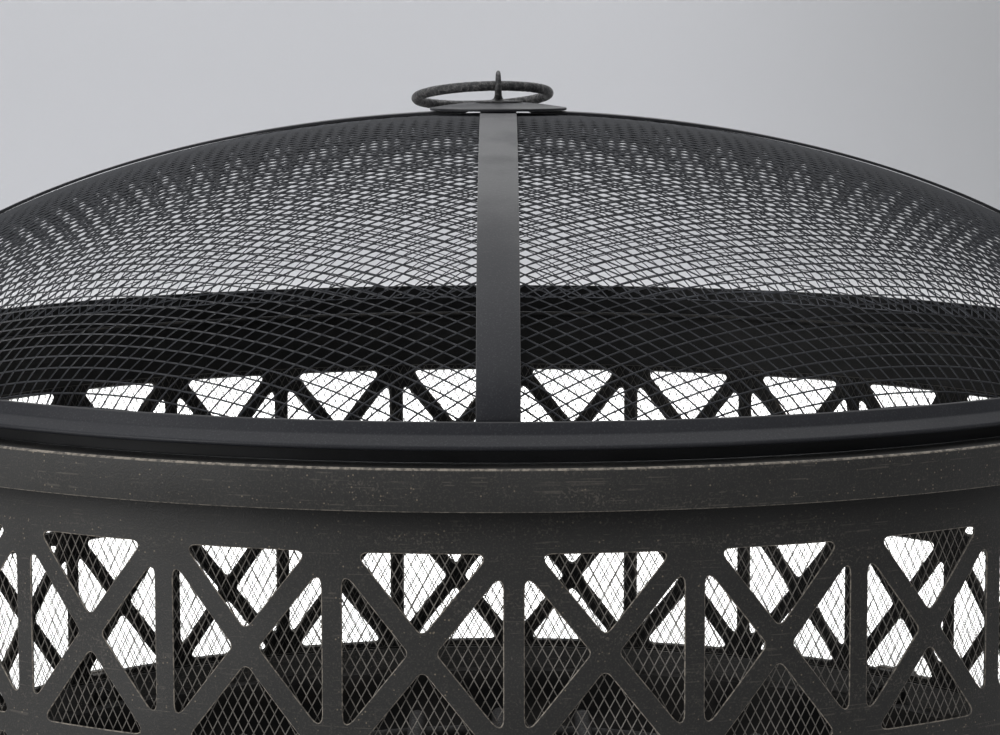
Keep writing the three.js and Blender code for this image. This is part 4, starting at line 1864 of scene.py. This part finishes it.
@dataclass
class LidTop(SubAssembly):
    """The cap plate, the eye bolt with its washer and nut, and the ring handle."""

    cap_sheet: float = 0.0015
    cap_flat: float = 0.0163
    cap_bend: float = 1.3
    cap_steps: int = 12
    bore: float = 0.00345
    flange_sheet: float = 0.0016
    flare_steps: int = 8
    stem: float = 0.0022
    eye_radius: float = 0.0062
    eye_rod: float = 0.0044
    eye_taper: float = 0.42
    shank: float = 0.003
    thread: float = 0.0010
    thread_depth: float = 0.00045
    handle_radius: float = 0.037
    handle_rod: float = 0.006
    handle_lean: float = 9.4
    handle_yaw: float = 14.0
    dent: float = 0.00045
    steps: int = 96

    def cap(self) -> BMesh:
        """The cap plate: flat in the middle and falling to its edge.

        Returns:
            The plate.
        """
        low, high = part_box("cap_plate")
        radius = high.x
        top = high.z
        fall = top - low.z - self.cap_sheet
        points: list[Point] = [(self.bore, top)]
        for i in range(self.cap_steps + 1):
            share = i / self.cap_steps
            reach = self.cap_flat + (radius - self.cap_flat) * share
            points.append((reach, top - fall * share**self.cap_bend))
        shape = faced(spun(drawn(points, closed=False), self.steps), lambda face: face.normal.z)
        thickened(shape, self.cap_sheet)
        rub(shape, softened(shape, 0.0003, 2, 50.0), 0.5)
        return shape

    def eye_bolt(self, eye_level: float) -> BMesh:
        """The eye bolt: flange and stem swept up into a tapered eye, and its threaded shank.

        Args:
            eye_level: the height of the eye's middle.

        Returns:
            The bolt.
        """
        low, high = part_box("eye_bolt")
        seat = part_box("cap_plate")[1].z + 0.0003
        radius = high.x
        neck = eye_level - self.eye_radius
        flare = [(radius, seat), (radius, seat + 0.4 * self.flange_sheet)]
        for i in range(1, self.flare_steps + 1):
            share = i / self.flare_steps
            reach = self.stem + (radius - self.stem) * (1 - share) ** 2.4
            flare.append((reach, seat + 0.4 * self.flange_sheet + (neck - seat) * share**2.2))
        points: list[Point] = [(0.0, low.z), (self.shank - self.thread_depth, low.z)]
        turns = int((seat - low.z) / self.thread)
        for i in range(turns):
            level = low.z + (i + 0.25) * self.thread
            points.append((self.shank - self.thread_depth, level))
            points.append((self.shank, level + self.thread / 2))
        points.append((self.shank, seat))
        points += [*flare, (0.0, neck + self.eye_rod / 3)]
        post = spun(drawn(points, closed=False), 48)
        eye = round_ring(self.eye_radius, self.eye_rod, 48, 18)
        moved(eye, Matrix.Translation((0, 0, eye_level)) @ Matrix.Rotation(math.pi / 2, 4, "Y"))
        size = self.eye_radius + self.eye_rod / 2

        def taper(point: Vector) -> Vector:
            """Draws the eye thinner towards its top."""
            rise = (point.z - eye_level + size) / (2 * size)
            return Vector((point.x * (1 - self.eye_taper * rise), point.y, point.z))

        return joined(post, reshaped(eye, taper))

    def handle(self, eye_level: float) -> BMesh:
        """The ring handle: a dented rod in a ring that leans back through the eye.

        Args:
            eye_level: the height of the eye's middle.

        Returns:
            The ring.
        """
        ring = round_ring(self.handle_radius, self.handle_rod, 260, 24)
        for vert in ring.verts:
            middle = Vector((vert.co.x, vert.co.y, 0)).normalized() * self.handle_radius
            out = (vert.co - middle).normalized()
            dents = noise.noise(vert.co * 330) + 0.5 * noise.noise(vert.co * 900)
            vert.co = middle + out * (self.handle_rod / 2 - self.dent * (0.5 + 0.5 * abs(dents)))
        lean = Matrix.Rotation(-math.radians(self.handle_lean), 4, "X")
        yaw = Matrix.Rotation(math.radians(self.handle_yaw), 4, "Z")
        place = Matrix.Translation((0, 0, eye_level)) @ yaw @ lean
        return moved(ring, place @ Matrix.Translation((0, self.handle_radius, 0)))

    def washer(self) -> BMesh:
        """The washer under the mesh.

        Returns:
            The washer.
        """
        low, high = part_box("inner_washer")
        points = [(self.bore, low.z), (high.x, low.z), (high.x, high.z), (self.bore, high.z)]
        return spun(drawn(points, radius=0.0003, segments=2), 64)

    def nut(self) -> BMesh:
        """The nut under the washer."""
        low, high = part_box("inner_nut")
        return moved(hex_nut(high.x, self.bore, high.z - low.z), Matrix.Translation((0, 0, low.z)))

    def build(self) -> None:
        """Builds every piece at the top of the lid."""
        eye_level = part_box("eye_bolt")[1].z - self.eye_radius - self.eye_rod / 2
        self.add("cap_plate_pressed", self.cap(), Body.LID, Slot.LID, ["cap_plate"])
        self.add("eye_bolt_cast", self.eye_bolt(eye_level), Body.LID, Slot.LID, ["eye_bolt"])
        self.add("inner_washer_pressed", self.washer(), Body.LID, Slot.STEEL, ["inner_washer"])
        self.add("inner_nut_turned", self.nut(), Body.LID, Slot.STEEL, ["inner_nut"])
        self.add("ring_handle_forged", self.handle(eye_level), Body.HANDLE, Slot.HANDLE, ["ring_handle"])

    def dress(self) -> None:
        """Satin plate, rough black handle and eye, blacked fasteners."""
        self.paint(LID_PAINT, "cap_plate")
        self.paint(STEEL, "inner_")
        self.paint(HANDLE_PAINT, "eye_bolt")
        self.paint(HANDLE_PAINT, "ring_handle")


# ---- The studio --------------------------------------------------------------------------------


@dataclass(frozen=True)
class Softbox:
    """A rectangular soft light that looks at a point."""

    name: str
    place: Triple
    size: tuple[float, float]
    power: float
    target: Triple = (0.0, 0.0, 0.35)
    tint: Triple = (1.0, 1.0, 1.0)
    spread: float = 180.0

    def hang(self) -> None:
        """Adds the light to the scene."""
        lamp = bpy.data.lights.new(self.name, "AREA")
        lamp.shape = "RECTANGLE"
        lamp.size, lamp.size_y = self.size
        lamp.energy = self.power
        lamp.color = self.tint
        lamp.spread = math.radians(self.spread)
        holder = bpy.data.objects.new(self.name, lamp)
        holder.location = self.place
        aim = Vector(self.target) - Vector(self.place)
        holder.rotation_euler = aim.to_track_quat("-Z", "Y").to_euler()
        bpy.context.scene.collection.objects.link(holder)


@dataclass
class Studio:
    """A pale paper sweep all round, soft lights and the camera."""

    floor_reach: float = 5.6
    sweep: float = 1.6
    sweep_steps: int = 16
    wall_height: float = 3.2
    steps: int = 128
    lens: float = 105.2
    sensor: float = 36.0
    camera_place: Triple = (0.001, -1.605, 0.5498)
    camera_dip: float = 6.327
    camera_roll: float = 0.097
    world: Triple = (0.86, 0.88, 0.92)
    world_strength: float = 0.25
    lights: tuple[Softbox, ...] = (
        Softbox("ceiling", (0.0, 1.0, 4.2), (7.0, 7.0), 155.0, target=(0.0, 1.0, 0.0)),
        Softbox("rear_soft", (0.0, 3.4, 2.8), (4.6, 2.0), 40.0, target=(0.0, 1.4, 0.0)),
        Softbox("floor_wash", (0.0, 2.3, 2.9), (2.6, 1.0), 42.0, target=(0.0, 2.1, 0.0), spread=70.0),
        Softbox("backdrop_wash", (-0.8, 3.5, 3.5), (3.0, 1.0), 38.0, target=(-0.6, 7.0, 1.0)),
        Softbox("left_key", (-3.6, -2.4, 1.2), (2.4, 2.4), 76.0),
        Softbox("front_fill", (1.6, -4.2, 1.6), (2.6, 2.6), 8.0),
    )

    def paper(self) -> None:
        """Builds the floor and the sweep that rises from it."""
        points: list[Point] = [(0.0, 0.0), (1.5, 0.0), (3.0, 0.0), (self.floor_reach, 0.0)]
        for i in range(1, self.sweep_steps + 1):
            turn = math.pi / 2 * i / self.sweep_steps
            reach = self.floor_reach + self.sweep * math.sin(turn)
            points.append((reach, self.sweep * (1 - math.cos(turn))))
        points.append((self.floor_reach + self.sweep, self.wall_height))
        shape = faced(spun(drawn(points, closed=False), self.steps), lambda face: face.normal.z)
        mesh = bpy.data.meshes.new("paper_sweep")
        shape.to_mesh(mesh)
        shape.free()
        mesh.shade_smooth()
        mesh.materials.append(PAPER.material())
        sweep = bpy.data.objects.new("paper_sweep", mesh)
        bpy.context.scene.collection.objects.link(sweep)

    def camera(self) -> None:
        """Sets the camera up in front, a little above the lid's handle."""
        data = bpy.data.cameras.new("camera")
        data.lens = self.lens
        data.sensor_width = self.sensor
        data.clip_start, data.clip_end = 0.05, 60.0
        holder = bpy.data.objects.new("camera", data)
        holder.location = self.camera_place
        holder.rotation_euler = (math.radians(90 - self.camera_dip), math.radians(self.camera_roll), 0.0)
        bpy.context.scene.collection.objects.link(holder)
        bpy.context.scene.camera = holder

    def ambient(self) -> None:
        """Fills the room with a faint cool light."""
        world = bpy.data.worlds.new("room")
        world.use_nodes = True
        background = world.node_tree.nodes["Background"]
        background.inputs["Color"].default_value = (*self.world, 1.0)
        background.inputs["Strength"].default_value = self.world_strength
        bpy.context.scene.world = world

    def build(self) -> None:
        """Builds the sweep, hangs the lights and sets the camera up."""
        self.paper()
        self.ambient()
        for light in self.lights:
            light.hang()
        self.camera()
        bpy.context.scene.view_settings.view_transform = "Standard"


def main() -> None:
    """Builds and dresses every sub-assembly round the frame, then the studio."""
    logging.basicConfig(level=logging.INFO, format="%(name)s: %(message)s")
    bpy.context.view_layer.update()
    dome = Dome()
    assemblies = [
        Drum(), Seam(), Bowl(), Legs(), LogGrate(), MeshDome(dome=dome), LidFrame(dome=dome), LidTop(),
    ]
    for assembly in assemblies:
        assembly.build()
        assembly.dress()
        for piece in assembly.pieces:
            LOG.info("%s: %s, %d faces", type(assembly).__name__, piece.name, len(piece.data.polygons))
    Studio().build()


if __name__ == "__main__":
    main()
